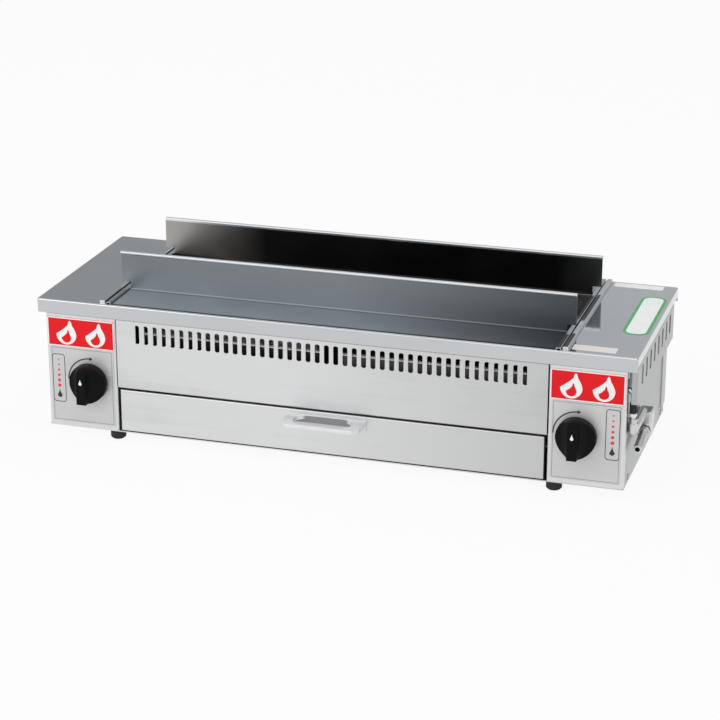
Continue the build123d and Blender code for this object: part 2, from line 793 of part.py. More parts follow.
def burner_tiles(side):
    """Ceramic tiles in the burner's mouth."""
    with BuildPart() as piece:
        room = burner_length - 2 * tile_margin
        length = room / tile_count - tile_gap
        with BuildSketch(Plane.XY.offset(burner_top_z - tile_height)) as tiles:
            with Locations((side * burner_mid, burner_y)):
                with GridLocations(room / tile_count, 1, tile_count, 1):
                    Rectangle(length, burner_width - 2 * tile_margin)
        extrude(amount=tile_height)
        chamfer(piece.faces().filter_by(Axis.Z).group_by(Axis.Z)[-1].edges(), 0.8)
    return piece


def mixing_tube(side):
    """Venturi: flared mouth, throat, and a cone that opens into the burner's end."""
    mouth = knob_x - 12.0
    burner_end = burner_inner_end + burner_length + seam
    wall = 1.5
    room = mouth - burner_end
    bore = [
        (mouth, throat_radius * 1.6),
        (mouth - 0.26 * room, throat_radius * 1.12),
        (mouth - 0.38 * room, throat_radius),
        (mouth - 0.58 * room, throat_radius),
        (burner_end, throat_radius * 1.2),
    ]
    skin = [(x, radius + wall) for x, radius in reversed(bore)]
    with BuildPart() as piece:
        with BuildSketch(Plane.XY.offset(mixer_z)):
            with BuildLine():
                Polyline(*[(side * x, burner_y + radius) for x, radius in bore + skin], close=True)
            make_face()
        revolve(axis=Axis((0, burner_y, mixer_z), (1, 0, 0)))
    return piece


def injector(side):
    """Brass injector on its holder, aimed into the mixing tube."""
    holder_face = knob_x - 8.0
    with BuildPart() as piece:
        with BuildSketch(Plane.YZ.offset(side * holder_face)) as hexagon:
            with Locations((burner_y, mixer_z)):
                RegularPolygon(5.5, 6)
        extrude(amount=-side * 4)
        with BuildSketch(Plane.YZ.offset(side * (holder_face - 4))) as tip:
            with Locations((burner_y, mixer_z)):
                Circle(4)
        extrude(amount=-side * 4, taper=15)
        with BuildSketch(Plane.YZ.offset(side * holder_face)) as orifice:
            with Locations((burner_y, mixer_z)):
                Circle(0.8)
        extrude(amount=-side * 8, mode=Mode.SUBTRACT)
    return piece


def injector_holder(side):
    """Block at the end of the feed pipe, on a bracket from the partition."""
    half = 8.0
    with BuildPart() as piece:
        with BuildSketch(Plane.XY.offset(mixer_z - half)) as block:
            with Locations((side * knob_x, burner_y)):
                RectangleRounded(2 * half, 2 * half, 2)
        extrude(amount=2 * half)
        plate_y = burner_y + 2 * throat_radius + 1
        near = side * (partition_x + sheet)
        points = [(near, plate_y + 12), (near, plate_y), (side * knob_x, plate_y),
                  (side * knob_x, burner_y + half - 0.5)]
        extrude(section(Plane.XY.offset(mixer_z - half), points, sheet), amount=2 * half)
    return piece


def feed_pipe(side):
    """Pipe from the valve's rear end to the injector's holder."""
    x = side * knob_x
    with BuildPart() as piece:
        with BuildLine() as route:
            FilletPolyline(
                (x, front_y + valve_length + 3, knob_z),
                (x, burner_y, knob_z),
                (x, burner_y, mixer_z - 8),
                radius=1.5 * feed_diameter,
            )
        with BuildSketch(Plane(origin=route.line @ 0, z_dir=route.line % 0)):
            Circle(feed_diameter / 2)
        sweep()
    return piece


def gas_valve(side):
    """Valve body behind the panel, with a flange, side ports and a bore for the spindle."""
    x = side * knob_x
    valve_front = front_y + sheet + seam
    with BuildPart() as piece:
        with BuildSketch(cross(valve_front)) as flange:
            with Locations((x, knob_z)):
                RectangleRounded(valve_flange, valve_diameter * 0.85, valve_diameter / 4)
        extrude(amount=-2 * sheet)
        with BuildSketch(cross(valve_front)) as barrel:
            with Locations((x, knob_z)):
                Circle(valve_diameter / 2)
        extrude(amount=-(valve_length - sheet - seam))
        rear_edge = piece.faces().sort_by(Axis.Y)[-1].edges()
        fillet(rear_edge, 3)
        with BuildSketch(Plane.YZ.offset(x - port_reach)) as ports:
            with Locations((manifold_y, manifold_z)):
                Circle(port_diameter / 2)
        extrude(amount=2 * port_reach)
        with BuildSketch(cross(front_y + valve_length)) as outlet:
            with Locations((x, knob_z)):
                Circle(feed_diameter / 2 + 2)
        extrude(amount=-3)
        with BuildSketch(cross(valve_front)) as bore:
            with Locations((x, knob_z)):
                Circle(spindle_diameter / 2 + running_clearance)
        extrude(amount=-valve_bore_depth, mode=Mode.SUBTRACT)
    return piece


def valve_spindle(side):
    """Spindle with a flat for the knob, turning in the valve's bore."""
    x = side * knob_x
    tip_y = front_y - knob_reach + 9.0
    with BuildPart() as piece:
        with BuildSketch(cross(front_y + valve_bore_depth)) as shaft:
            with Locations((x, knob_z)):
                Circle(spindle_diameter / 2)
        extrude(amount=front_y + valve_bore_depth - tip_y)
        chamfer(piece.faces().sort_by(Axis.Y)[0].edges(), 0.6)
        with BuildSketch(cross(front_y)) as flat:
            with Locations((x, knob_z - spindle_diameter * 0.85)):
                Rectangle(2 * spindle_diameter, spindle_diameter)
        extrude(amount=knob_reach, mode=Mode.SUBTRACT)
    return piece


def knob(side):
    """Moulded knob: a domed skirt, scooped at both sides to leave a grip bar with a square lower end."""
    x = side * knob_x
    back_y = front_y - dial_thickness - push_travel - seam
    tip_y = front_y - knob_reach
    skirt_y = back_y - knob_skirt
    bar = knob_bar_width / 2
    with BuildPart() as piece:
        with BuildSketch(Plane.XY.offset(knob_z)) as half_dome:
            with BuildLine():
                Polyline((x, tip_y), (x, back_y), (x + knob_radius, back_y), (x + knob_radius, skirt_y))
                shoulder = (x + (knob_radius + knob_tip_radius) / 2, tip_y + (skirt_y - tip_y) * 0.25)
                ThreePointArc((x + knob_radius, skirt_y), shoulder, (x + knob_tip_radius, tip_y))
                Line((x + knob_tip_radius, tip_y), (x, tip_y))
            make_face()
        revolve(axis=Axis((x, 0, knob_z), (0, 1, 0)))
        with BuildSketch(cross(skirt_y)) as bar_end:
            with Locations((x, knob_z - knob_bar_end / 2)):
                Rectangle(knob_bar_width, knob_bar_end)
        extrude(amount=skirt_y - tip_y)
        with BuildSketch(Plane.XY.offset(knob_z - 2 * knob_radius)) as scoops:
            for turn in (-1, 1):
                with BuildLine():
                    start = (x + turn * bar, tip_y - 1)
                    foot = (x + turn * (knob_radius + 1), skirt_y)
                    far = (x + turn * (knob_radius + 1), tip_y - 1)
                    ThreePointArc(start, (x + turn * (bar + 4.2), skirt_y - 5.2), foot)
                    Polyline(foot, far, start)
                make_face()
        extrude(amount=4 * knob_radius, mode=Mode.SUBTRACT)
        grip_edges = piece.faces().sort_by(Axis.Y)[0].edges()
        fillet(grip_edges, 0.8)
        with BuildSketch(cross(back_y)) as socket:
            with Locations((x, knob_z)):
                Circle(spindle_diameter / 2 + running_clearance)
            with Locations((x, knob_z - spindle_diameter * 0.85 - running_clearance)):
                Rectangle(2 * spindle_diameter, spindle_diameter, mode=Mode.SUBTRACT)
        extrude(amount=back_y - tip_y - 9.0 + push_travel + seam, mode=Mode.SUBTRACT)
    return piece


def igniter(side):
    """Spark rod through the case's front wall, its tip over the tiles' edge."""
    x = side * (burner_inner_end + burner_length - 16)
    rod_z = burner_top_z + 7.5
    start = case_front_y + sheet + seam
    with BuildPart() as piece:
        with BuildSketch(cross(start)) as bracket:
            with Locations((x, rod_z)):
                RectangleRounded(22, 12, 3)
        extrude(amount=-sheet)
        with BuildSketch(cross(start)) as ceramic:
            with Locations((x, rod_z)):
                Circle(3)
        extrude(amount=-(burner_y - burner_width / 2 - start - 1))
        with BuildSketch(cross(start)) as wire:
            with Locations((x, rod_z)):
                Circle(1)
        extrude(amount=-(burner_y - burner_width / 2 - start + 7))
    return piece


PAIRS = {
    "end_rail": rail,
    "partition": partition,
    "side_wall": side_wall,
    "side_cover": side_cover,
    "control_panel": control_panel,
    "dial_plate": dial_plate,
    "badge_plate": badge_plate,
    "front_shield": front_shield,
    "burner_body": burner_body,
    "burner_tiles": burner_tiles,
    "mixing_tube": mixing_tube,
    "injector": injector,
    "injector_holder": injector_holder,
    "feed_pipe": feed_pipe,
    "gas_valve": gas_valve,
    "valve_spindle": valve_spindle,
    "knob": knob,
    "igniter": igniter,
}
for name, make in PAIRS.items():
    for hand, side in (("left", -1), ("right", 1)):
        save(make(side), f"{hand}_{name}")
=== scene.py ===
"""Finishes and small parts of a table-top gas skewer grill, laid out as an add-on."""

import math

import bmesh
import bpy
from mathutils import Matrix, Vector


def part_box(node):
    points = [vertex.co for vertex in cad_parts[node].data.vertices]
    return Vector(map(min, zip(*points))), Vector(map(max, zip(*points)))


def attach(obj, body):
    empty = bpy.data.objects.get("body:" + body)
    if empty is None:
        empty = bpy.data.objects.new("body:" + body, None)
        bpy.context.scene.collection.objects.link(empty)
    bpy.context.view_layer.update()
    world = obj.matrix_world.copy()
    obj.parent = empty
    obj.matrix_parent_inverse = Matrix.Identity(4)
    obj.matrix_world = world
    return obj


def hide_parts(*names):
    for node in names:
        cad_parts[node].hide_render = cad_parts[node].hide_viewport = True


bl_info = {
    "name": "Skewer grill finishes",
    "version": (1, 0, 0),
    "blender": (4, 5, 0),
    "location": "View3D > Sidebar > Grill",
    "description": "Sheet steel, gas fittings, printed dials, labels and screws of a skewer grill",
    "category": "Object",
}

MM = 0.001
MERGE = 0.001 * MM  # vertices nearer than this become one
FLAT_ANGLE = 0.2  # degrees, below which neighbouring faces become one
SMOOTH_ANGLE = 30  # degrees, above which an edge stays sharp
DROP_LEVELS = 8  # steps in which a circle is drawn up to a drop
DROP_NARROWING = 0.90  # width that each step keeps,
DROP_TAPER = 0.02  # less this much more in each
EVEN = (1, 1, 1)
GRAIN = {"x": (0.02, 1, 1), "y": (1, 0.02, 1), "z": (1, 1, 0.02)}
HOLES_PER_METRE = (330, 330, 0)
RIGHT_SHADE_ALONG = (-0.04, 0.25)  # where along X painted shade darkens the front sheets towards the right
HEM_HIGHLIGHT = (0.62, 0.64, 0.66)
DARK_REFLECTION_ALONG = (  # painted reflection on a rest's burner side, from its left end to its right: pale at the left end, then the dark burner space mirrored
    (0.0, (0.34, 0.325, 0.31)),
    (0.12, (0.30, 0.285, 0.27)),
    (0.24, (0.030, 0.030, 0.032)),
    (0.9, (0.022, 0.022, 0.024)),
    (1.0, (0.11, 0.12, 0.12)),
)
HANDS = ("left", "right")
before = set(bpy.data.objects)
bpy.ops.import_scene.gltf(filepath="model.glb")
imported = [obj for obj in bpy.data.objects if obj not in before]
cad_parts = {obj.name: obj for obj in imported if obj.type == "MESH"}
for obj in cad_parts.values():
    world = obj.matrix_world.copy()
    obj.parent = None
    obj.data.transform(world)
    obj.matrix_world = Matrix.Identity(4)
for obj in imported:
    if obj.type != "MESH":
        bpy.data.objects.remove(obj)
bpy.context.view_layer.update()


def place(node):
    """Lowest corner, highest corner and middle of a node, in metres."""
    low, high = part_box(node)
    return low, high, (low + high) / 2


# Working on a mesh


def close_edit():
    """Goes back to object mode, from wherever it is."""
    if bpy.context.mode != "OBJECT":
        bpy.ops.object.mode_set(mode="OBJECT")


def alone(piece):
    """Makes a piece the only selected one and the active one."""
    bpy.ops.object.select_all(action="DESELECT")
    piece.select_set(True)
    bpy.context.view_layer.objects.active = piece


def start(primitive, **settings):
    """Adds one primitive with nothing else selected and opens it with all of it selected."""
    close_edit()
    bpy.ops.object.select_all(action="DESELECT")
    primitive(**settings)
    bpy.ops.object.mode_set(mode="EDIT")
    bpy.ops.mesh.select_all(action="SELECT")
    return bpy.context.object


def edit(piece):
    """Opens a piece in edit mode, on its own."""
    close_edit()
    alone(piece)
    bpy.ops.object.mode_set(mode="EDIT")


def pick(piece, kind, wanted):
    """Selects the vertices or edges whose middle passes the test."""
    bpy.ops.mesh.select_mode(type={"verts": "VERT", "edges": "EDGE"}[kind])
    bpy.ops.mesh.select_all(action="DESELECT")
    mesh = bmesh.from_edit_mesh(piece.data)
    for item in getattr(mesh, kind):
        middle = item.co if kind == "verts" else (item.verts[0].co + item.verts[1].co) / 2
        if wanted(middle):
            item.select_set(True)
    mesh.select_flush_mode()
    bmesh.update_edit_mesh(piece.data)


def modify(piece, kind, **settings):
    """Adds a modifier with its settings and applies it."""
    alone(piece)
    modifier = piece.modifiers.new(kind.title(), kind)
    for key, value in settings.items():
        setattr(modifier, key, value)
    bpy.ops.object.modifier_apply(modifier=modifier.name)


def copy_of(node, name):
    """Opens a copy of a node's mesh, its doubled vertices and flat triangles merged."""
    piece = bpy.data.objects.new(name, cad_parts[node].data.copy())
    bpy.context.scene.collection.objects.link(piece)
    edit(piece)
    bpy.ops.mesh.select_all(action="SELECT")
    bpy.ops.mesh.remove_doubles(threshold=MERGE)
    bpy.ops.mesh.customdata_custom_splitnormals_clear()
    bpy.ops.mesh.dissolve_limited(angle_limit=math.radians(FLAT_ANGLE))
    bpy.ops.mesh.select_all(action="DESELECT")
    return piece


def smooth(piece):
    """Closes the edit and shades the rounds smooth, with the flats kept flat."""
    close_edit()
    bpy.ops.object.shade_smooth_by_angle(angle=math.radians(SMOOTH_ANGLE))
    modify(piece, "WEIGHTED_NORMAL", keep_sharp=True)


def twin(piece):
    """A second piece with a mesh of its own."""
    alone(piece)
    bpy.ops.object.duplicate(linked=False)
    return bpy.context.object


def seat(piece, name, body, finish, move=None):
    """Moves a piece to its place, settles it there and lets it ride on its body."""
    if move is not None:
        piece.matrix_world = move @ piece.matrix_world
    alone(piece)
    bpy.ops.object.transform_apply(location=True, rotation=True, scale=True)
    piece.name = name
    piece.data.name = name
    piece.data.materials.clear()
    piece.data.materials.append(finish_of(finish))
    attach(piece, body)


def on_front(x, y, z):
    """The move that makes a piece drawn flat on the XY plane face forward at that place."""
    return Matrix.Translation((x, y, z)) @ Matrix.Rotation(math.radians(90), 4, "X")


def thicken(piece, thickness):
    """Gives the open flat piece on the XY plane its thickness and closes the edit."""
    bpy.ops.mesh.select_all(action="SELECT")
    bpy.ops.mesh.remove_doubles(threshold=MERGE)
    bpy.ops.mesh.extrude_region_move(TRANSFORM_OT_translate={"value": (0, 0, thickness)})
    bpy.ops.mesh.select_all(action="SELECT")
    bpy.ops.mesh.normals_make_consistent(inside=False)
    close_edit()
    return piece


def rounded_face(width, height, corner, segments):
    """An open flat face on the XY plane with rounded corners."""
    piece = start(bpy.ops.mesh.primitive_plane_add, size=1)
    bpy.ops.transform.resize(value=(width, height, 1))
    bpy.ops.mesh.bevel(offset=corner, offset_type="OFFSET", segments=segments, affect="VERTICES")
    return piece


def flat_plate(width, height, corner, thickness, segments=6):
    """A flat plate with rounded corners, its back on the XY plane."""
    return thicken(rounded_face(width, height, corner, segments), thickness)


def outline_plate(width, height, corner, line, thickness, segments=6):
    """A flat frame of one line's width with rounded corners, its back on the XY plane."""
    piece = rounded_face(width, height, corner, segments)
    bpy.ops.mesh.select_mode(type="FACE")
    bpy.ops.mesh.select_all(action="SELECT")
    bpy.ops.mesh.inset(thickness=line)
    bpy.ops.mesh.delete(type="FACE")
    return thicken(piece, thickness)


def drop_plate(width, height, thickness, lean=0.0):
    """A drop with its point up or leaning to the right, its back on the XY plane."""
    radius = width / 2
    piece = start(bpy.ops.mesh.primitive_circle_add, vertices=32, radius=radius, fill_type="NGON")
    rise = (height - width) / (DROP_LEVELS - 1)
    for level in range(1, DROP_LEVELS):
        reach = radius * level / DROP_LEVELS
        pick(piece, "verts", lambda middle: middle.y > reach - radius * 0.02)
        narrowing = DROP_NARROWING - DROP_TAPER * level
        bpy.ops.transform.resize(value=(narrowing, 1, 1), center_override=(0, 0, 0))
        bpy.ops.transform.translate(value=(lean * radius, rise, 0))
    return thicken(piece, thickness)


def join(pieces):
    """Joins several pieces into the first."""
    bpy.ops.object.select_all(action="DESELECT")
    for piece in pieces:
        piece.select_set(True)
    bpy.context.view_layer.objects.active = pieces[0]
    bpy.ops.object.join()
    return bpy.context.object


# Finishes


def add_node(tree, kind, values=(), **settings):
    """A node with its settings and with the values of its sockets."""
    node = tree.nodes.new(kind)
    for key, value in settings.items():
        setattr(node, key, value)
    for socket, value in dict(values).items():
        node.inputs[socket].default_value = value
    return node


class Finish:
    """A node material and the few steps that its kinds share."""

    def __init__(self, name, colour, metallic, roughness):
        self.material = bpy.data.materials.new(name)
        self.material.use_nodes = True
        self.tree = self.material.node_tree
        self.shader = self.tree.nodes["Principled BSDF"]
        self.shader.inputs["Base Color"].default_value = (*colour, 1)
        self.shader.inputs["Metallic"].default_value = metallic
        self.shader.inputs["Roughness"].default_value = roughness
        self.coords = self.node("ShaderNodeTexCoord").outputs["Object"]

    def node(self, kind, values=(), **settings):
        """A new node in this material."""
        return add_node(self.tree, kind, values, **settings)

    def link(self, source, target):
        """Joins an output to an input."""
        self.tree.links.new(source, target)

    def stretched(self, scale):
        """The point's place, drawn out by three factors."""
        mapping = self.node("ShaderNodeMapping", {"Scale": scale})
        self.link(self.coords, mapping.inputs["Vector"])
        return mapping.outputs["Vector"]

    def noise(self, stretch, scale, detail, rough):
        """Noise whose pattern is drawn out by the three factors."""
        noise = self.node("ShaderNodeTexNoise", {"Scale": scale, "Detail": detail, "Roughness": rough})
        self.link(self.stretched(stretch), noise.inputs["Vector"])
        return noise.outputs["Fac"]

    def span(self, source, low, high, start=0.3, end=0.7):
        """Maps a pattern onto the values from low to high."""
        ends = {"From Min": start, "From Max": end, "To Min": low, "To Max": high}
        mapped = self.node("ShaderNodeMapRange", ends)
        self.link(source, mapped.inputs["Value"])
        return mapped.outputs["Result"]

    def combined(self, operation, first, second):
        """Two patterns added or multiplied."""
        both_patterns = self.node("ShaderNodeMath", operation=operation)
        self.link(first, both_patterns.inputs[0])
        self.link(second, both_patterns.inputs[1])
        return both_patterns.outputs[0]

    def tint(self, source, first, second, start=0.3, end=0.7):
        """Colours the surface between two colours by a pattern."""
        self.link(self.shades(source, (start, first), (end, second)), self.shader.inputs["Base Color"])

    def rough(self, source, low, high, start=0.3, end=0.7):
        """Spreads the roughness between two values by a pattern."""
        self.link(self.span(source, low, high, start, end), self.shader.inputs["Roughness"])

    def axis(self, letter):
        """A point's place along one axis, in metres."""
        apart = self.node("ShaderNodeSeparateXYZ")
        self.link(self.coords, apart.inputs["Vector"])
        return apart.outputs[letter]

    def within(self, letter, low, high, soft=0.3 * MM):
        """One between two places along an axis and nought beyond them."""
        source = self.axis(letter)
        above = self.span(source, 0.0, 1.0, low - soft, low)
        below = self.span(source, 1.0, 0.0, high, high + soft)
        return self.combined("MULTIPLY", above, below)

    def all_of(self, first, *others):
        """The product of several masks."""
        for other in others:
            first = self.combined("MULTIPLY", first, other)
        return first

    def shades(self, source, *stops):
        """A run of colours over a pattern, each given with its place from 0 to 1."""
        node = self.node("ShaderNodeValToRGB")
        elements = node.color_ramp.elements
        for element, (position, colour) in zip(elements, (stops[0], stops[-1])):
            element.position = position
            element.color = (*colour, 1)
        for position, colour in stops[1:-1]:
            elements.new(position).color = (*colour, 1)
        self.link(source, node.inputs["Fac"])
        return node.outputs["Color"]

    def paint(self, mask, colour, blend="MIX"):
        """Lays a colour, or a colour socket, over the tinted surface where the mask is one."""
        base = self.shader.inputs["Base Color"]
        mix = self.node("ShaderNodeMix", data_type="RGBA", blend_type=blend, clamp_factor=True)
        self.link(mask, mix.inputs["Factor"])
        self.link(base.links[0].from_socket, mix.inputs["A"])
        if isinstance(colour, tuple):
            mix.inputs["B"].default_value = (*colour, 1)
        else:
            self.link(colour, mix.inputs["B"])
        self.link(mix.outputs["Result"], base)

    def bump(self, source, height):
        """Gives the surface relief of a height in metres."""
        bump = self.node("ShaderNodeBump", {"Distance": height, "Strength": 1.0})
        self.link(source, bump.inputs["Height"])
        self.link(bump.outputs["Normal"], self.shader.inputs["Normal"])


# Where a finish changes: distances from the edges of its node

LEDGE_ENDS = 4.0 * MM
LEDGE_SIDES = 2.7 * MM
LEDGE_DROP = 4.6 * MM
SKIN = 0.4 * MM
SHELF_SHEET = 1.8 * MM
HEM_HEIGHT = 3.6 * MM
LIT_OVERLAP = 4.0 * MM
LIT_SHORTFALL = 20.0 * MM
LIT_BLUR = 3.0 * MM
HALF_SHEET = 0.6 * MM
FINE_BLUR = 0.1 * MM
SHIELD_EDGE = 1.5 * MM
HANDLE_ENDS = 10.0 * MM
HANDLE_WALL_FRONT = 3.0 * MM
HANDLE_WALL_BACK = 1.7 * MM
HANDLE_BLUR = 1.6 * MM
HANDLE_SKIN = 0.25 * MM


def shaded(colour, factor):
    """A colour times a factor, kept below one."""
    return tuple(min(1.0, part * factor) for part in colour)


def steel_sheet(name, colour, roughness, along, grain=0.05, relief=0.02, right_shade=1.0):
    """Sheet steel with a fine drawn grain, faint streaks and hand marks, and where asked painted shade that
    darkens it towards the right end.
    """
    finish = Finish(name, colour, 1.0, roughness)
    fine = finish.noise(GRAIN[along], 1600, 3, 0.7)
    broad = finish.noise(GRAIN[along], 90, 3, 0.5)
    marks = finish.noise(EVEN, 14, 5, 0.6)
    mixed = finish.combined("ADD", broad, marks)
    finish.tint(mixed, shaded(colour, 0.94), shaded(colour, 1.04), 0.65, 1.35)
    # painted shade: the sheet is darkened towards its right end, standing in for less light falling there
    if right_shade < 1:
        right_shade_mask = finish.span(finish.axis("X"), 0.0, 1.0, *RIGHT_SHADE_ALONG)
        finish.paint(right_shade_mask, (right_shade, right_shade, right_shade), "MULTIPLY")
    finish.rough(finish.combined("ADD", fine, marks), roughness - grain, roughness + grain, 0.7, 1.3)
    finish.bump(fine, relief * MM)
    return finish.material


def plate_sheet(name, colour):
    """Polished top plate with painted shade, near black, on its ledges in the grooves under the shelves."""
    finish = Finish(name, colour, 1.0, 0.08)
    low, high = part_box("top_frame")
    fine = finish.noise(GRAIN["x"], 1600, 3, 0.7)
    marks = finish.noise(EVEN, 9, 5, 0.6)
    finish.tint(marks, shaded(colour, 0.96), shaded(colour, 1.03))
    finish.rough(marks, 0.06, 0.12)
    finish.bump(fine, 0.004 * MM)
    # painted shade: the ledge in the groove behind the rims is painted near black, where it lies in shade
    ledge_shade = finish.all_of(
        finish.within("X", low.x + LEDGE_ENDS, high.x - LEDGE_ENDS),
        finish.within("Y", low.y + LEDGE_SIDES, high.y - LEDGE_SIDES),
        finish.within("Z", low.z, high.z - LEDGE_DROP),
    )
    finish.paint(ledge_shade, (0.02, 0.021, 0.023))
    return finish.material


def rest_sheet(name, node, side, run, shelf):
    """Skewer rest: satin sheet whose colour run along X is painted reflection, with a painted dark
    reflection on the burners' side, painted light on its shelf and a painted highlight on its rolled hem.
    """
    finish = Finish(name, run[0][1], 1.0, 0.34)
    low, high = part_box(node)
    inner = low.y if side > 0 else high.y
    along = finish.span(finish.axis("X"), 0.0, 1.0, low.x, high.x)
    # painted reflection: the rest's colour runs along X as a mirrored room would show on it
    finish.link(finish.shades(along, *run), finish.shader.inputs["Base Color"])
    # painted reflection: the burners' side shows the dark burner space, paler at the left end
    reflecting_side_mask = finish.within("Y", inner - SKIN, inner + SKIN)
    finish.paint(reflecting_side_mask, finish.shades(along, *DARK_REFLECTION_ALONG))
    # painted light: the shelf, which faces up, is painted lighter than the wall, and the front one darker
    # to its right as painted reflection
    finish.paint(finish.within("Z", 0.0, low.z + SHELF_SHEET), finish.shades(along, *shelf))
    # painted highlight along the rolled hem
    finish.paint(finish.within("Z", high.z - HEM_HEIGHT, 1.0), HEM_HIGHLIGHT)
    marks = finish.noise(EVEN, 16, 5, 0.6)
    finish.rough(marks, 0.28, 0.40)
    finish.bump(finish.noise(GRAIN["x"], 1500, 3, 0.7), 0.01 * MM)
    return finish.material


def case_sheet(name, light, dark):
    """Wall behind the slots: painted light where light falls through the slots on its front, near black
    painted shade elsewhere, its tone mottled.
    """
    finish = Finish(name, dark, 0.0, 0.8)
    low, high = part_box("left_front_shield")
    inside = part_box("case_front_wall")[1].y
    mottle = finish.noise(EVEN, 60, 4, 0.6)
    finish.tint(mottle, dark, shaded(dark, 1.6))
    # painted light: a pale patch on the front face where light comes in through the slots
    painted_light_patch = finish.all_of(
        finish.within("X", low.x - LIT_OVERLAP, high.x - LIT_SHORTFALL, LIT_BLUR),
        finish.within("Y", -1.0, inside - HALF_SHEET, FINE_BLUR),
    )
    finish.paint(painted_light_patch, finish.shades(mottle, (0.3, shaded(light, 0.86)), (0.7, light)))
    finish.bump(finish.noise(GRAIN["x"], 1200, 3, 0.7), 0.03 * MM)
    return finish.material


def shield_sheet(name, node, face):
    """Dark shield, its tone mottled, with a painted highlight on its folded top edge."""
    finish = Finish(name, face, 0.4, 0.6)
    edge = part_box(node)[1].z + bpy.context.scene.grill_sizes.shield_rise
    mottle = finish.noise(EVEN, 40, 4, 0.6)
    finish.tint(mottle, shaded(face, 0.7), shaded(face, 1.3))
    # painted highlight along the folded top edge
    finish.paint(finish.within("Z", edge - SHIELD_EDGE, 1.0, 2 * FINE_BLUR), (0.92, 0.92, 0.92))
    finish.bump(finish.noise(GRAIN["x"], 1200, 3, 0.7), 0.03 * MM)
    return finish.material


def handle_metal(name, colour):
    """Pale cast handle with painted shade on the wall at the back of its finger slot."""
    finish = Finish(name, colour, 0.4, 0.34)
    low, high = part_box("tray_handle")
    skin = finish.noise(EVEN, 1500, 4, 0.6)
    patches = finish.noise(EVEN, 90, 4, 0.6)
    finish.tint(patches, shaded(colour, 0.96), shaded(colour, 1.03))
    finish.rough(patches, 0.30, 0.40)
    finish.bump(skin, 0.02 * MM)
    # painted shade: the wall at the back of the finger slot, which lies in the handle's shadow, is painted
    # darker
    wall = finish.all_of(
        finish.within("X", low.x + HANDLE_ENDS, high.x - HANDLE_ENDS),
        finish.within("Y", high.y - HANDLE_WALL_FRONT, high.y - HANDLE_WALL_BACK, HANDLE_BLUR),
        finish.within("Z", 0.0, high.z - HANDLE_SKIN, FINE_BLUR),
    )
    finish.paint(wall, (0.24, 0.24, 0.245))
    return finish.material


def heated_sheet(name, cool, hot, roughness):
    """Steel of the burner space: darkened and stained by heat and smoke."""
    finish = Finish(name, cool, 1.0, roughness)
    cloud = finish.noise(EVEN, 18, 6, 0.65)
    finish.tint(cloud, hot, cool, 0.36, 0.66)
    finish.rough(cloud, roughness + 0.12, roughness - 0.06)
    finish.bump(finish.noise(GRAIN["x"], 1200, 3, 0.7), 0.03 * MM)
    return finish.material


def cast_metal(name, colour, roughness, relief, scale=900):
    """Cast or turned metal with a fine skin and duller patches."""
    finish = Finish(name, colour, 1.0, roughness)
    skin = finish.noise(EVEN, scale, 4, 0.6)
    patches = finish.noise(EVEN, 120, 4, 0.6)
    finish.tint(patches, shaded(colour, 0.86), shaded(colour, 1.05))
    finish.rough(patches, roughness + 0.1, roughness - 0.05)
    finish.bump(skin, relief * MM)
    return finish.material


def moulded_plastic(name, colour, roughness):
    """Hard moulded plastic with the faint texture of its mould."""
    finish = Finish(name, colour, 0.0, roughness)
    finish.shader.inputs["Specular IOR Level"].default_value = 0.08
    texture = finish.noise(EVEN, 2200, 2, 0.5)
    wear = finish.noise(EVEN, 70, 5, 0.7)
    finish.tint(wear, colour, shaded(colour, 1.5), 0.45, 0.8)
    finish.rough(wear, roughness - 0.05, roughness + 0.12)
    finish.bump(texture, 0.03 * MM)
    return finish.material


def soft_rubber(name, colour):
    """Matte rubber, a little dusty."""
    finish = Finish(name, colour, 0.0, 0.8)
    dust = finish.noise(EVEN, 160, 5, 0.7)
    finish.tint(dust, colour, shaded(colour, 2.2), 0.4, 0.85)
    finish.rough(dust, 0.72, 0.92)
    finish.bump(finish.noise(EVEN, 1300, 3, 0.6), 0.06 * MM)
    return finish.material


def printed(name, colour, roughness, metallic=0.0, gloss=0.5):
    """Ink, enamel or vinyl film: even colour over a faint orange peel."""
    finish = Finish(name, colour, metallic, roughness)
    finish.shader.inputs["Specular IOR Level"].default_value = gloss
    peel = finish.noise(EVEN, 420, 2, 0.4)
    film = finish.noise(EVEN, 30, 4, 0.6)
    finish.tint(film, shaded(colour, 0.95), shaded(colour, 1.03))
    finish.rough(film, roughness - 0.06, roughness + 0.06)
    finish.bump(peel, 0.02 * MM)
    return finish.material


def holed_tile(name, colour):
    """Fired clay with close rows of small burner holes, painted dark inside as painted shade, and soot."""
    finish = Finish(name, colour, 0.0, 0.85)
    cells = finish.node("ShaderNodeTexVoronoi", {"Scale": 1.0, "Randomness": 0.0})
    finish.link(finish.stretched(HOLES_PER_METRE), cells.inputs["Vector"])
    hole_depth_and_shade = finish.span(cells.outputs["Distance"], 0.0, 1.0, 0.20, 0.30)
    # painted shade: the holes are painted dark inside
    finish.tint(hole_depth_and_shade, shaded(colour, 0.12), colour, 0.1, 0.9)
    soot = finish.span(finish.noise(EVEN, 40, 5, 0.6), 0.0, 0.45)
    finish.paint(soot, (0.42, 0.36, 0.32), "MULTIPLY")
    finish.bump(hole_depth_and_shade, 0.5 * MM)
    return finish.material


finishes = {}


def finish_of(name):
    """The material of that name, made by the finishes operator."""
    if name not in finishes:
        raise RuntimeError(f"finish {name} hasn't been made")
    return finishes[name]


def dress(material, *nodes):
    """Gives CAD nodes a material."""
    for name in nodes:
        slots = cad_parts[name].data.materials
        slots.clear()
        slots.append(finish_of(material))


def both(name):
    """The left and right node of that name."""
    return [f"{hand}_{name}" for hand in HANDS]


def colour_setting(label, about, *default):
    """A colour that the panel shows."""
    return bpy.props.FloatVectorProperty(name=label, description=about, subtype="COLOR", default=default)


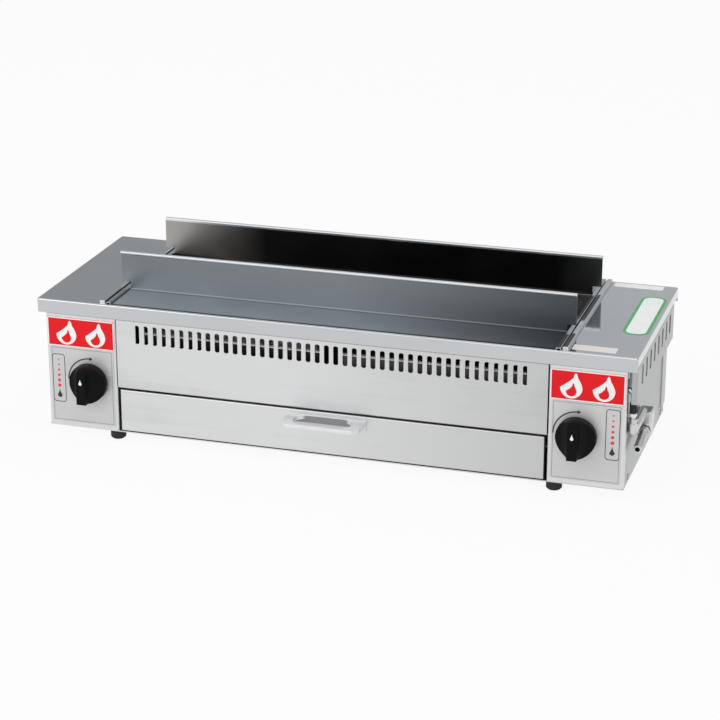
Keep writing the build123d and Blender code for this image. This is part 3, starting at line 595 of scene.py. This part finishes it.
def length_setting(label, about, millimetres):
    """A length that the panel shows."""
    return bpy.props.FloatProperty(
        name=label, description=about, unit="LENGTH", default=millimetres * MM)


class GrillColours(bpy.types.PropertyGroup):
    """Colours of the finishes."""

    steel: colour_setting("Steel", "Brushed cabinet sheet", 0.68, 0.685, 0.69)
    plate: colour_setting("Top plate", "Polished top plate", 0.56, 0.575, 0.59)
    # the rests' dark colour is painted reflection of a dark room
    rest: colour_setting("Rests", "Polished skewer rests", 0.205, 0.222, 0.238)
    badge: colour_setting("Badge", "Red plates over the knobs", 0.74, 0.008, 0.013)
    dial: colour_setting("Dial", "Plates behind the knobs", 0.585, 0.59, 0.585)
    knob: colour_setting("Knob", "Moulded knobs", 0.0035, 0.0035, 0.0038)
    label_border: colour_setting("Label border", "Band round the long label", 0.09, 0.42, 0.13)


class GrillSizes(bpy.types.PropertyGroup):
    """Sizes of the printed and small parts."""

    print_thickness: length_setting("Print", "Thickness of printed marks", 0.08)
    film_thickness: length_setting("Film", "Thickness of stuck-on labels", 0.15)
    arc_radius: length_setting("Arc", "Radius of the arc round a knob", 26.3)
    arc_line: length_setting("Arc line", "Width of the arc's line", 1.5)
    pill_width: length_setting("Panel width", "Width of the outlined panel", 15.6)
    pill_height: length_setting("Panel height", "Height of the outlined panel", 57.5)
    pill_offset: length_setting("Panel offset", "From the knob out to the outlined panel", 38.0)
    pill_rise: length_setting("Panel rise", "Height of the right panel over its knob", 4.5)
    slot_count: bpy.props.IntProperty(
        name="Slots", description="Slots across the front panel", default=43)
    slot_margin: length_setting("Slot margin", "From the panel's side to its last slot", 25.5)
    slot_drop: length_setting("Slot drop", "From the panel's top down to the slots' middle", 15.5)
    slot_spread: bpy.props.FloatProperty(
        name="Slot spread", description="How much wider the pressed slots are than their cut", default=1.4)
    shield_rise: length_setting("Shield rise", "How far the shields' tops are drawn up", 4.0)
    screw_radius: length_setting("Screw head", "Radius of a side screw's head", 3.6)


class GRILL_OT_finishes(bpy.types.Operator):
    """Makes the materials"""

    bl_idname = "grill.finishes"
    bl_label = "Finishes"

    def execute(self, context):
        colours = context.scene.grill_colours
        steel = tuple(colours.steel)
        rest = tuple(colours.rest)
        # painted reflection: the rests are darkened to stand in for a dark room mirrored in them, the front
        # rest darker to its right, the rear rest paler
        front_rest_reflection_run = ((0.0, rest), (0.5, shaded(rest, 1.06)), (1.0, shaded(rest, 0.38)))
        front_shelf_light_run = ((0.0, shaded(rest, 2.5)), (0.6, shaded(rest, 2.4)), (1.0, shaded(rest, 0.8)))
        rear_rest_reflection_run = ((0.0, shaded(rest, 1.9)), (1.0, shaded(rest, 1.5)))
        rear_shelf_light_run = ((0.0, shaded(rest, 1.9)), (1.0, shaded(rest, 1.3)))
        knob = tuple(colours.knob)
        finishes.update(
            # the front sheets get painted shade towards their right end
            sheet_across=steel_sheet("brushed_sheet_across", steel, 0.36, "x", right_shade=0.79),
            # painted shade: the side and rear sheets are darker copies of the front steel
            sheet_deep=steel_sheet("brushed_sheet_deep", shaded(steel, 0.62), 0.36, "y"),
            sheet_rear=steel_sheet("brushed_sheet_rear", shaded(steel, 0.72), 0.38, "x"),
            sheet_up=steel_sheet("brushed_sheet_up", steel, 0.38, "z"),
            plate=plate_sheet("polished_plate", tuple(colours.plate)),
            rail=steel_sheet("rail_steel", (0.40, 0.41, 0.42), 0.14, "y", 0.04, 0.006),
            front_rest=rest_sheet("front_rest_steel", "front_skewer_rest", -1, front_rest_reflection_run, front_shelf_light_run),
            rear_rest=rest_sheet("rear_rest_steel", "rear_skewer_rest", 1, rear_rest_reflection_run, rear_shelf_light_run),
            # the case wall's pale colour is painted light and its near black is painted shade
            case_wall=case_sheet("pale_case_wall", (0.93, 0.93, 0.93), (0.012, 0.012, 0.012)),
            left_shield=shield_sheet("left_shield_sheet", "left_front_shield", (0.010, 0.010, 0.010)),
            right_shield=shield_sheet("right_shield_sheet", "right_front_shield", (0.09, 0.09, 0.092)),
            inner=heated_sheet("heated_sheet", (0.40, 0.40, 0.40), (0.13, 0.13, 0.13), 0.42),
            pan=heated_sheet("drip_pan_steel", (0.55, 0.55, 0.55), (0.34, 0.33, 0.32), 0.36),
            guard=heated_sheet("guard_steel", (0.34, 0.34, 0.34), (0.11, 0.10, 0.09), 0.45),
            handle=handle_metal("handle_aluminium", (0.74, 0.745, 0.75)),
            plated=cast_metal("plated_casting", (0.66, 0.66, 0.65), 0.28, 0.10),
            brass=cast_metal("brass", (0.72, 0.53, 0.24), 0.30, 0.05),
            screw=cast_metal("screw_steel", (0.50, 0.50, 0.50), 0.25, 0.02, 1500),
            rivet=cast_metal("rivet_aluminium", (0.74, 0.745, 0.75), 0.30, 0.02, 1500),
            knob=moulded_plastic("knob_plastic", knob, 0.36),
            gloss=moulded_plastic("knob_inlay", shaded(knob, 0.6), 0.12),
            rubber=soft_rubber("foot_rubber", (0.012, 0.012, 0.012)),
            badge=printed("badge_enamel", tuple(colours.badge), 0.4, gloss=0.2),
            dial=printed("dial_lacquer", tuple(colours.dial), 0.38, 0.35),
            white=printed("white_ink", (0.86, 0.86, 0.85), 0.45),
            black=printed("black_ink", (0.02, 0.02, 0.022), 0.45),
            grey=printed("grey_ink", (0.20, 0.21, 0.22), 0.45),
            red=printed("red_ink", (0.70, 0.05, 0.06), 0.45),
            green=printed("green_film", tuple(colours.label_border), 0.4),
            film=printed("white_film", (0.95, 0.96, 0.95), 0.4),
            paper=printed("pale_film", (0.84, 0.78, 0.73), 0.4),
            tile=holed_tile("burner_tile", (0.74, 0.64, 0.53)),
            ceramic=printed("igniter_glaze", (0.80, 0.79, 0.75), 0.25),
        )
        return {"FINISHED"}


# Sheet metal

SLOT_HALF_WIDTH = 2.4 * MM
SLOT_HALF_HEIGHT = 11.4 * MM
PANEL_FOLD = 3.0 * MM
PANEL_LIFT = 0.26 * MM
OUTER_PART = 0.8  # vertices farther out than this part of the fold's radius are its outside
SHIELD_FOLD = 4.0 * MM
SHELF_EDGE = 0.2 * MM
SHELF_GROOVE = 3.0 * MM


class GRILL_OT_sheet_metal(bpy.types.Operator):
    """Finishes the cabinet, the rests and the drip tray"""

    bl_idname = "grill.sheet_metal"
    bl_label = "Sheet metal"

    def execute(self, context):
        dress("plate", "top_frame")
        dress("rail", *both("end_rail"))
        dress("front_rest", "front_skewer_rest")
        dress("rear_rest", "rear_skewer_rest")
        dress("sheet_across", "front_vent_panel", "tray_front", "base_plate")
        dress("sheet_rear", "rear_panel")
        dress("sheet_up", *both("control_panel"))
        dress("sheet_deep", *both("side_wall"), *both("side_cover"))
        dress("inner", "case_rear_wall", "burner_crossbars", *both("partition"), *both("burner_body"))
        dress("case_wall", "case_front_wall")
        dress("left_shield", "left_front_shield")
        dress("right_shield", "right_front_shield")
        dress("guard", "burner_guards")
        dress("pan", "drip_pan", "tray_runners")
        dress("handle", "tray_handle")
        dress("rivet", "handle_rivets")
        dress("screw", "side_screws")
        dress("rubber", "feet")
        dress("tile", *both("burner_tiles"))
        self.vent_panel(context.scene.grill_sizes)
        self.rest_shelves()
        self.shields(context.scene.grill_sizes.shield_rise)
        return {"FINISHED"}

    def vent_panel(self, sizes):
        """The front panel with its slots pressed out to their full width."""
        panel = copy_of("front_vent_panel", "front_vent_sheet")
        low, high, middle = place("front_vent_panel")
        reach = (high.x - low.x) / 2 - sizes.slot_margin
        pitch = 2 * reach / (sizes.slot_count - 1)
        row_z = high.z - sizes.slot_drop
        for index in range(sizes.slot_count):
            x = middle.x - reach + index * pitch
            pick(panel, "verts", lambda spot: abs(spot.x - x) < SLOT_HALF_WIDTH
                 and abs(spot.z - row_z) < SLOT_HALF_HEIGHT)
            bpy.ops.transform.resize(value=(sizes.slot_spread, 1, 1), center_override=(x, 0, 0))
        self.square_fold(panel, low.y, high.z, PANEL_FOLD)
        pick(panel, "verts", lambda spot: spot.z > high.z - PANEL_FOLD)
        bpy.ops.transform.translate(value=(0, 0, PANEL_LIFT))
        smooth(panel)
        seat(panel, "front_vent_sheet", "cabinet", "sheet_across")
        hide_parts("front_vent_panel")

    def square_fold(self, panel, face, top, fold):
        """Draws the outside of the panel's top fold out to a square edge."""
        def outside(spot):
            across, up = face + fold - spot.y, spot.z - top + fold
            return across > 0 and up > 0 and math.hypot(across, up) > fold * OUTER_PART

        def steep(spot):
            return face + fold - spot.y >= spot.z - top + fold

        pick(panel, "verts", lambda spot: outside(spot) and steep(spot))
        bpy.ops.transform.resize(value=(1, 0, 1), center_override=(0, face, 0))
        pick(panel, "verts", lambda spot: outside(spot) and not steep(spot))
        bpy.ops.transform.resize(value=(1, 1, 0), center_override=(0, 0, top))

    def shields(self, rise):
        """The shields behind the slots with their folded top edges drawn up."""
        for hand in HANDS:
            shield = copy_of(f"{hand}_front_shield", f"{hand}_shield_sheet")
            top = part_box(f"{hand}_front_shield")[1].z
            pick(shield, "verts", lambda spot: spot.z > top - SHIELD_FOLD)
            bpy.ops.transform.translate(value=(0, 0, rise))
            smooth(shield)
            seat(shield, f"{hand}_shield_sheet", "cabinet", f"{hand}_shield")
            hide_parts(f"{hand}_front_shield")

    def rest_shelves(self):
        """The rests with their shelves cut back, which leaves an open groove behind the rim."""
        for end, side in (("front", -1), ("rear", 1)):
            rest = copy_of(f"{end}_skewer_rest", f"{end}_rest_sheet")
            low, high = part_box(f"{end}_skewer_rest")
            tip = low.y if side < 0 else high.y
            pick(rest, "verts", lambda spot: abs(spot.y - tip) < SHELF_EDGE)
            bpy.ops.transform.translate(value=(0, -side * SHELF_GROOVE, 0))
            smooth(rest)
            seat(rest, f"{end}_rest_sheet", f"{end}_rest", f"{end}_rest")
            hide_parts(f"{end}_skewer_rest")


class GRILL_OT_gas_fittings(bpy.types.Operator):
    """Finishes the gas line, the valves and the igniters"""

    bl_idname = "grill.gas_fittings"
    bl_label = "Gas fittings"

    def execute(self, context):
        dress("plated", "inlet_block", "hose_nozzle", "union_nut", "supply_pipe", "manifold_pipe",
              *both("feed_pipe"), *both("mixing_tube"), *both("valve_spindle"))
        dress("brass", *both("gas_valve"), *both("injector"), *both("injector_holder"))
        dress("rubber", "riser_sleeve")
        dress("ceramic", "seal_ring", *both("igniter"))
        return {"FINISHED"}


# Dial prints: widths and heights, and how far each mark stands from the knob or the panel's middle

EDGE_MARGIN = 1.7 * MM
EDGE_CORNER = 1.0 * MM
EDGE_LINE = 0.5 * MM
PILL_CORNER = 3.4 * MM
PILL_LINE = 0.8 * MM
DOT_COUNT = 6
DOT_RADIUS = 2.1 * MM
DOT_SHRINK = 0.24 * MM
DOT_DROP = 9.0 * MM
DOT_PITCH = 6.2 * MM
DIAL_FLAME = (5.8 * MM, 9.6 * MM)
DIAL_FLAME_DROP = 20.5 * MM
ARC_START = 0.1 * MM
HEAD_RADIUS = 2.6 * MM
HEAD_SHIFT = 1.0 * MM


class GRILL_OT_dials(bpy.types.Operator):
    """Prints the dial plates: edge line, arc with its arrowhead and the outlined panel"""

    bl_idname = "grill.dials"
    bl_label = "Dial prints"

    def execute(self, context):
        sizes = context.scene.grill_sizes
        ink = sizes.print_thickness
        dress("dial", *both("dial_plate"))
        for hand, side in zip(HANDS, (-1, 1)):
            low, high, middle = place(f"{hand}_dial_plate")
            knob = place(f"{hand}_knob")[2]
            face = low.y

            def stamp(piece, mark, finish, x, z):
                seat(piece, f"{hand}_dial_{mark}", "cabinet", finish, on_front(x, face, z))

            width = high.x - low.x - 2 * EDGE_MARGIN
            height = high.z - low.z - 2 * EDGE_MARGIN
            edge = outline_plate(width, height, EDGE_CORNER, EDGE_LINE, ink)
            stamp(edge, "edge_line", "grey", middle.x, middle.z)
            x = knob.x + side * sizes.pill_offset
            z = knob.z + (sizes.pill_rise if side > 0 else 0)
            panel = outline_plate(sizes.pill_width, sizes.pill_height, PILL_CORNER, PILL_LINE, ink, 4)
            stamp(panel, "panel_outline", "black", x, z)
            for index in range(DOT_COUNT):
                dot = start(bpy.ops.mesh.primitive_circle_add, vertices=16, fill_type="NGON",
                            radius=DOT_RADIUS - DOT_SHRINK * index)
                stamp(thicken(dot, ink), f"dot_{index + 1}", "red", x, z - DOT_DROP + DOT_PITCH * index)
            stamp(drop_plate(*DIAL_FLAME, ink), "flame", "black", x, z - DIAL_FLAME_DROP)
            stamp(self.arc(sizes, ink), "arc", "black", knob.x, knob.z)
            stamp(self.arrowhead(ink), "arrowhead", "black", knob.x + HEAD_SHIFT, knob.z + sizes.arc_radius)
        return {"FINISHED"}

    def arc(self, sizes, ink):
        """A quarter ring from straight up round to the left, spun from one edge."""
        arc = start(bpy.ops.mesh.primitive_plane_add, size=1)
        bpy.ops.transform.resize(value=(ARC_START, sizes.arc_line, 1))
        bpy.ops.transform.translate(value=(0, sizes.arc_radius, 0))
        pick(arc, "verts", lambda spot: spot.x < 0)
        bpy.ops.mesh.delete(type="VERT")
        bpy.ops.mesh.select_all(action="SELECT")
        bpy.ops.mesh.spin(steps=24, angle=math.radians(90), center=(0, 0, 0), axis=(0, 0, -1))
        return thicken(arc, ink)

    def arrowhead(self, ink):
        """A triangle that points to the right."""
        head = start(bpy.ops.mesh.primitive_circle_add, vertices=3, radius=HEAD_RADIUS, fill_type="NGON")
        bpy.ops.transform.rotate(value=math.radians(90), orient_axis="Z", center_override=(0, 0, 0))
        return thicken(head, ink)


# Badges

BORDER_CORNER = 0.6 * MM
BORDER_LINE = 1.2 * MM
FLAME_LEAN = 0.1  # of the radius, at each of the drop's steps
FLAME_SHIFT = 17.5 * MM
FLAME = (24.0 * MM, 28.5 * MM)
FLAME_DROP = 2.6 * MM
FLAME_HEART = (11.5 * MM, 15.0 * MM)
FLAME_HEART_DROP = 6.5 * MM


class GRILL_OT_badges(bpy.types.Operator):
    """Finishes the red plates: a white border and two plain flames each"""

    bl_idname = "grill.badges"
    bl_label = "Badges"

    def execute(self, context):
        ink = context.scene.grill_sizes.print_thickness
        dress("badge", *both("badge_plate"))
        for hand in HANDS:
            low, high, middle = place(f"{hand}_badge_plate")

            def stamp(piece, mark, finish, right, forward, down):
                seat(piece, f"{hand}_badge_{mark}", "cabinet", finish,
                     on_front(middle.x + right, low.y - forward, middle.z - down))

            border = outline_plate(high.x - low.x, high.z - low.z, BORDER_CORNER, BORDER_LINE, ink)
            stamp(border, "border", "white", 0, 0, 0)
            for index, right in enumerate((-FLAME_SHIFT, FLAME_SHIFT)):
                flame = drop_plate(*FLAME, ink, FLAME_LEAN)
                stamp(flame, f"flame_{index + 1}", "white", right, 0, FLAME_DROP)
                heart = drop_plate(*FLAME_HEART, ink, FLAME_LEAN)
                stamp(heart, f"flame_heart_{index + 1}", "badge", right, ink, FLAME_HEART_DROP)
        return {"FINISHED"}


# Knobs

INLAY = (8.6 * MM, 10.0 * MM)
INLAY_CORNER = 0.8 * MM
INLAY_THICKNESS = 0.1 * MM
INLAY_RISE = 8.0 * MM
POINTER = (3.8 * MM, 6.6 * MM)
POINTER_RISE = 6.8 * MM


class GRILL_OT_knobs(bpy.types.Operator):
    """Finishes the knobs and sets a white pointer into each"""

    bl_idname = "grill.knobs"
    bl_label = "Knobs"

    def execute(self, context):
        dress("knob", *both("knob"))
        for hand in HANDS:
            low, _, middle = place(f"{hand}_knob")
            inlay = flat_plate(*INLAY, INLAY_CORNER, INLAY_THICKNESS, 3)
            seat(inlay, f"{hand}_knob_inlay", f"{hand}_knob", "gloss",
                 on_front(middle.x, low.y, middle.z + INLAY_RISE))
            pointer = drop_plate(*POINTER, context.scene.grill_sizes.print_thickness)
            seat(pointer, f"{hand}_knob_pointer", f"{hand}_knob", "white",
                 on_front(middle.x, low.y - INLAY_THICKNESS, middle.z + POINTER_RISE))
        return {"FINISHED"}


# Labels: name, width, depth, corner, distance right of the middle and behind the front, finish

PLATE_THICKNESS = 1.2 * MM
LABELS = (
    ("long_label", 29, 132, 12, 322, 138, "green"),
    ("rear_strip", 56, 14, 1.2, 297, 236, "film"),
    ("front_strip", 47, 16, 1.2, 291, 16.5, "paper"),
    ("long_label_face", 22, 125, 8.8, 322, 138, "film"),
)


class GRILL_OT_labels(bpy.types.Operator):
    """Sticks the three blank labels on the right end of the top plate"""

    bl_idname = "grill.labels"
    bl_label = "Labels"

    def execute(self, context):
        film = context.scene.grill_sizes.film_thickness
        plate_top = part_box("right_side_wall")[1].z + PLATE_THICKNESS
        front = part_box("top_frame")[0].y
        for name, width, depth, corner, x, y, finish in LABELS:
            on_label = name == "long_label_face"
            label = flat_plate(width * MM, depth * MM, corner * MM, 0.5 * film if on_label else film)
            z = plate_top + film if on_label else plate_top
            seat(label, name, "cabinet", finish,
                 Matrix.Translation((x * MM, front + y * MM, z)))
        return {"FINISHED"}


# Side screws: the head's depth and its way in from the farthest point of the walls, and parts of
# its radius or depth

HEAD_DEPTH = 1.7 * MM
HEAD_INSET = 1.8 * MM
ROUNDED_PART = 0.62
CROSS_WIDTH = 0.26
CROSS_LENGTH = 1.15
CROSS_DEPTH = 1.1
CROSS_TAPER = 0.55


class GRILL_OT_side_screws(bpy.types.Operator):
    """Drives the four cross-headed screws into the side walls"""

    bl_idname = "grill.side_screws"
    bl_label = "Side screws"

    def execute(self, context):
        radius = context.scene.grill_sizes.screw_radius
        low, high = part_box("side_screws")
        head = self.head(radius, HEAD_DEPTH)
        heads = [head, twin(head), twin(head), twin(head)]
        spots = [(side, y) for side in (-1, 1) for y in (low.y + radius, high.y - radius)]
        for piece, (side, y) in zip(heads, spots):
            wall = Matrix.Translation((side * (high.x - HEAD_INSET), y, low.z + radius))
            piece.matrix_world = wall @ Matrix.Rotation(side * math.radians(90), 4, "Y")
        screws = join(heads)
        seat(screws, "side_screw_heads", "cabinet", "screw")
        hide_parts("side_screws")
        return {"FINISHED"}

    def head(self, radius, depth):
        """A pan head: a disc with its edge rounded over and a cross cut into it."""
        head = start(bpy.ops.mesh.primitive_cylinder_add, vertices=32, radius=radius, depth=depth,
                     location=(0, 0, depth / 2))
        pick(head, "edges", lambda middle: middle.z > depth * 0.9)
        bpy.ops.mesh.bevel(offset=depth * ROUNDED_PART, segments=4, profile=0.5, affect="EDGES")
        for width, length in ((CROSS_WIDTH, CROSS_LENGTH), (CROSS_LENGTH, CROSS_WIDTH)):
            cutter = start(bpy.ops.mesh.primitive_cube_add, size=1, location=(0, 0, depth))
            bpy.ops.transform.resize(value=(radius * width, radius * length, depth * CROSS_DEPTH))
            pick(cutter, "verts", lambda middle: middle.z < 0)
            bpy.ops.transform.resize(value=(CROSS_TAPER, CROSS_TAPER, 1))
            close_edit()
            modify(head, "BOOLEAN", operation="DIFFERENCE", object=cutter)
            bpy.data.objects.remove(cutter)
        bpy.ops.object.shade_smooth_by_angle(angle=math.radians(SMOOTH_ANGLE))
        return head


# Stage: places in metres, powers in watts

LAMPS = (
    ("front_soft_light", (-0.2, -2.7, 1.7), (-0.1, 0, 0.1), 4.0, 2.6, 26),
    ("left_soft_light", (-2.2, -1.8, 1.2), (-0.2, 0, 0.1), 3.0, 2.2, 19),
    ("top_soft_light", (0.0, 0.5, 2.5), (0, 0, 0.1), 3.6, 3.0, 9),
)
FRONT_TO_REAR = ((0.30, (0.80, 0.80, 0.80, 1)), (0.85, (0.60, 0.62, 0.64, 1)))
LEFT_TO_RIGHT = {"From Min": -0.37, "From Max": -0.12, "To Min": 0.66, "To Max": 1.04}
BACKDROP = (0.99, 0.99, 0.99, 1)
CAMERA_SPOT = Vector((0.7196, -2.33945, 0.9838))
CAMERA_AIM = Vector((-0.0002, 0.01825, 0.0803))
CAMERA_LENS = 115.28


class GRILL_OT_stage(bpy.types.Operator):
    """Sets the floor, the lights, the world and the camera"""

    bl_idname = "grill.stage"
    bl_label = "Stage"

    def execute(self, context):
        self.floor()
        self.world(context.scene)
        for settings in LAMPS:
            self.lamp(*settings)
        self.camera(context.scene)
        return {"FINISHED"}

    def floor(self):
        """White paper that shades softly and looks nearly white, also where a piece mirrors it."""
        close_edit()
        bpy.ops.mesh.primitive_plane_add(size=14)
        floor = bpy.context.object
        floor.name = "floor"
        material = bpy.data.materials.new("floor_paper")
        material.use_nodes = True
        tree = material.node_tree
        link = tree.links.new
        shader = tree.nodes["Principled BSDF"]
        shader.inputs["Base Color"].default_value = (0.86, 0.86, 0.86, 1)
        shader.inputs["Roughness"].default_value = 0.9
        shader.inputs["Specular IOR Level"].default_value = 0.0
        white = add_node(tree, "ShaderNodeEmission", {"Strength": 1.0})
        path = add_node(tree, "ShaderNodeLightPath")
        seen = add_node(tree, "ShaderNodeMath", operation="MAXIMUM")
        share = add_node(tree, "ShaderNodeMath", {1: 0.9}, operation="MULTIPLY")
        mix = add_node(tree, "ShaderNodeMixShader")
        link(path.outputs["Is Camera Ray"], seen.inputs[0])
        link(path.outputs["Is Glossy Ray"], seen.inputs[1])
        link(seen.outputs[0], share.inputs[0])
        link(share.outputs[0], mix.inputs["Fac"])
        link(shader.outputs["BSDF"], mix.inputs[1])
        link(white.outputs["Emission"], mix.inputs[2])
        link(mix.outputs["Shader"], tree.nodes["Material Output"].inputs["Surface"])
        floor.data.materials.append(material)

    def world(self, scene):
        """Soft room light, darker to the rear and to the left, behind a plain white backdrop."""
        world = bpy.data.worlds.new("studio")
        scene.world = world
        world.use_nodes = True
        tree = world.node_tree
        link = tree.links.new
        background = tree.nodes["Background"]
        background.inputs["Strength"].default_value = 1.0
        coords = add_node(tree, "ShaderNodeTexCoord")
        apart = add_node(tree, "ShaderNodeSeparateXYZ")
        halve = add_node(tree, "ShaderNodeMath", {1: 0.5, 2: 0.5}, operation="MULTIPLY_ADD")
        ramp = add_node(tree, "ShaderNodeValToRGB")
        for element, (position, colour) in zip(ramp.color_ramp.elements, FRONT_TO_REAR):
            element.position = position
            element.color = colour
        glow = add_node(tree, "ShaderNodeMapRange", LEFT_TO_RIGHT, interpolation_type="SMOOTHSTEP")
        lift = add_node(tree, "ShaderNodeVectorMath", operation="SCALE")
        path = add_node(tree, "ShaderNodeLightPath")
        seen = add_node(tree, "ShaderNodeMix", data_type="RGBA")
        seen.inputs["B"].default_value = BACKDROP
        link(coords.outputs["Generated"], apart.inputs["Vector"])
        link(apart.outputs["Y"], halve.inputs[0])
        link(halve.outputs[0], ramp.inputs["Fac"])
        link(apart.outputs["X"], glow.inputs["Value"])
        link(ramp.outputs["Color"], lift.inputs[0])
        link(glow.outputs["Result"], lift.inputs["Scale"])
        link(path.outputs["Is Camera Ray"], seen.inputs["Factor"])
        link(lift.outputs["Vector"], seen.inputs["A"])
        link(seen.outputs["Result"], background.inputs["Color"])

    def lamp(self, name, spot, aim, width, height, power):
        """A soft rectangular lamp that faces the place it aims at."""
        bpy.ops.object.select_all(action="DESELECT")
        bpy.ops.object.light_add(type="AREA", location=spot)
        lamp = bpy.context.object
        lamp.name = name
        lamp.data.shape = "RECTANGLE"
        lamp.data.size = width
        lamp.data.size_y = height
        lamp.data.energy = power
        lamp.rotation_euler = (Vector(aim) - Vector(spot)).to_track_quat("-Z", "Y").to_euler()

    def camera(self, scene):
        """The camera that was fitted to the photograph."""
        bpy.ops.object.camera_add(location=CAMERA_SPOT)
        camera = bpy.context.object
        camera.name = "camera"
        camera.data.lens = CAMERA_LENS
        camera.data.sensor_width = 36.0
        camera.data.dof.use_dof = False
        camera.rotation_euler = (CAMERA_AIM - CAMERA_SPOT).to_track_quat("-Z", "Y").to_euler()
        scene.camera = camera
        scene.view_settings.view_transform = "Standard"


class GRILL_PT_panel(bpy.types.Panel):
    """Lists the steps and the values they use"""

    bl_idname = "GRILL_PT_panel"
    bl_label = "Skewer grill"
    bl_space_type = "VIEW_3D"
    bl_region_type = "UI"
    bl_category = "Grill"

    def draw(self, context):
        for step in STEPS:
            self.layout.operator(step.bl_idname)
        for group in (context.scene.grill_sizes, context.scene.grill_colours):
            for key in group.__annotations__:
                self.layout.prop(group, key)


STEPS = (
    GRILL_OT_finishes,
    GRILL_OT_stage,
    GRILL_OT_sheet_metal,
    GRILL_OT_gas_fittings,
    GRILL_OT_dials,
    GRILL_OT_badges,
    GRILL_OT_knobs,
    GRILL_OT_labels,
    GRILL_OT_side_screws,
)
CLASSES = (GrillColours, GrillSizes, *STEPS, GRILL_PT_panel)


def register():
    for item in CLASSES:
        bpy.utils.register_class(item)
    bpy.types.Scene.grill_colours = bpy.props.PointerProperty(type=GrillColours)
    bpy.types.Scene.grill_sizes = bpy.props.PointerProperty(type=GrillSizes)


def unregister():
    del bpy.types.Scene.grill_sizes
    del bpy.types.Scene.grill_colours
    for item in reversed(CLASSES):
        bpy.utils.unregister_class(item)


def main():
    register()
    bpy.ops.grill.finishes()
    bpy.ops.grill.stage()
    bpy.ops.grill.sheet_metal()
    bpy.ops.grill.gas_fittings()
    bpy.ops.grill.dials()
    bpy.ops.grill.badges()
    bpy.ops.grill.knobs()
    bpy.ops.grill.labels()
    bpy.ops.grill.side_screws()


if __name__ == "__main__":
    main()
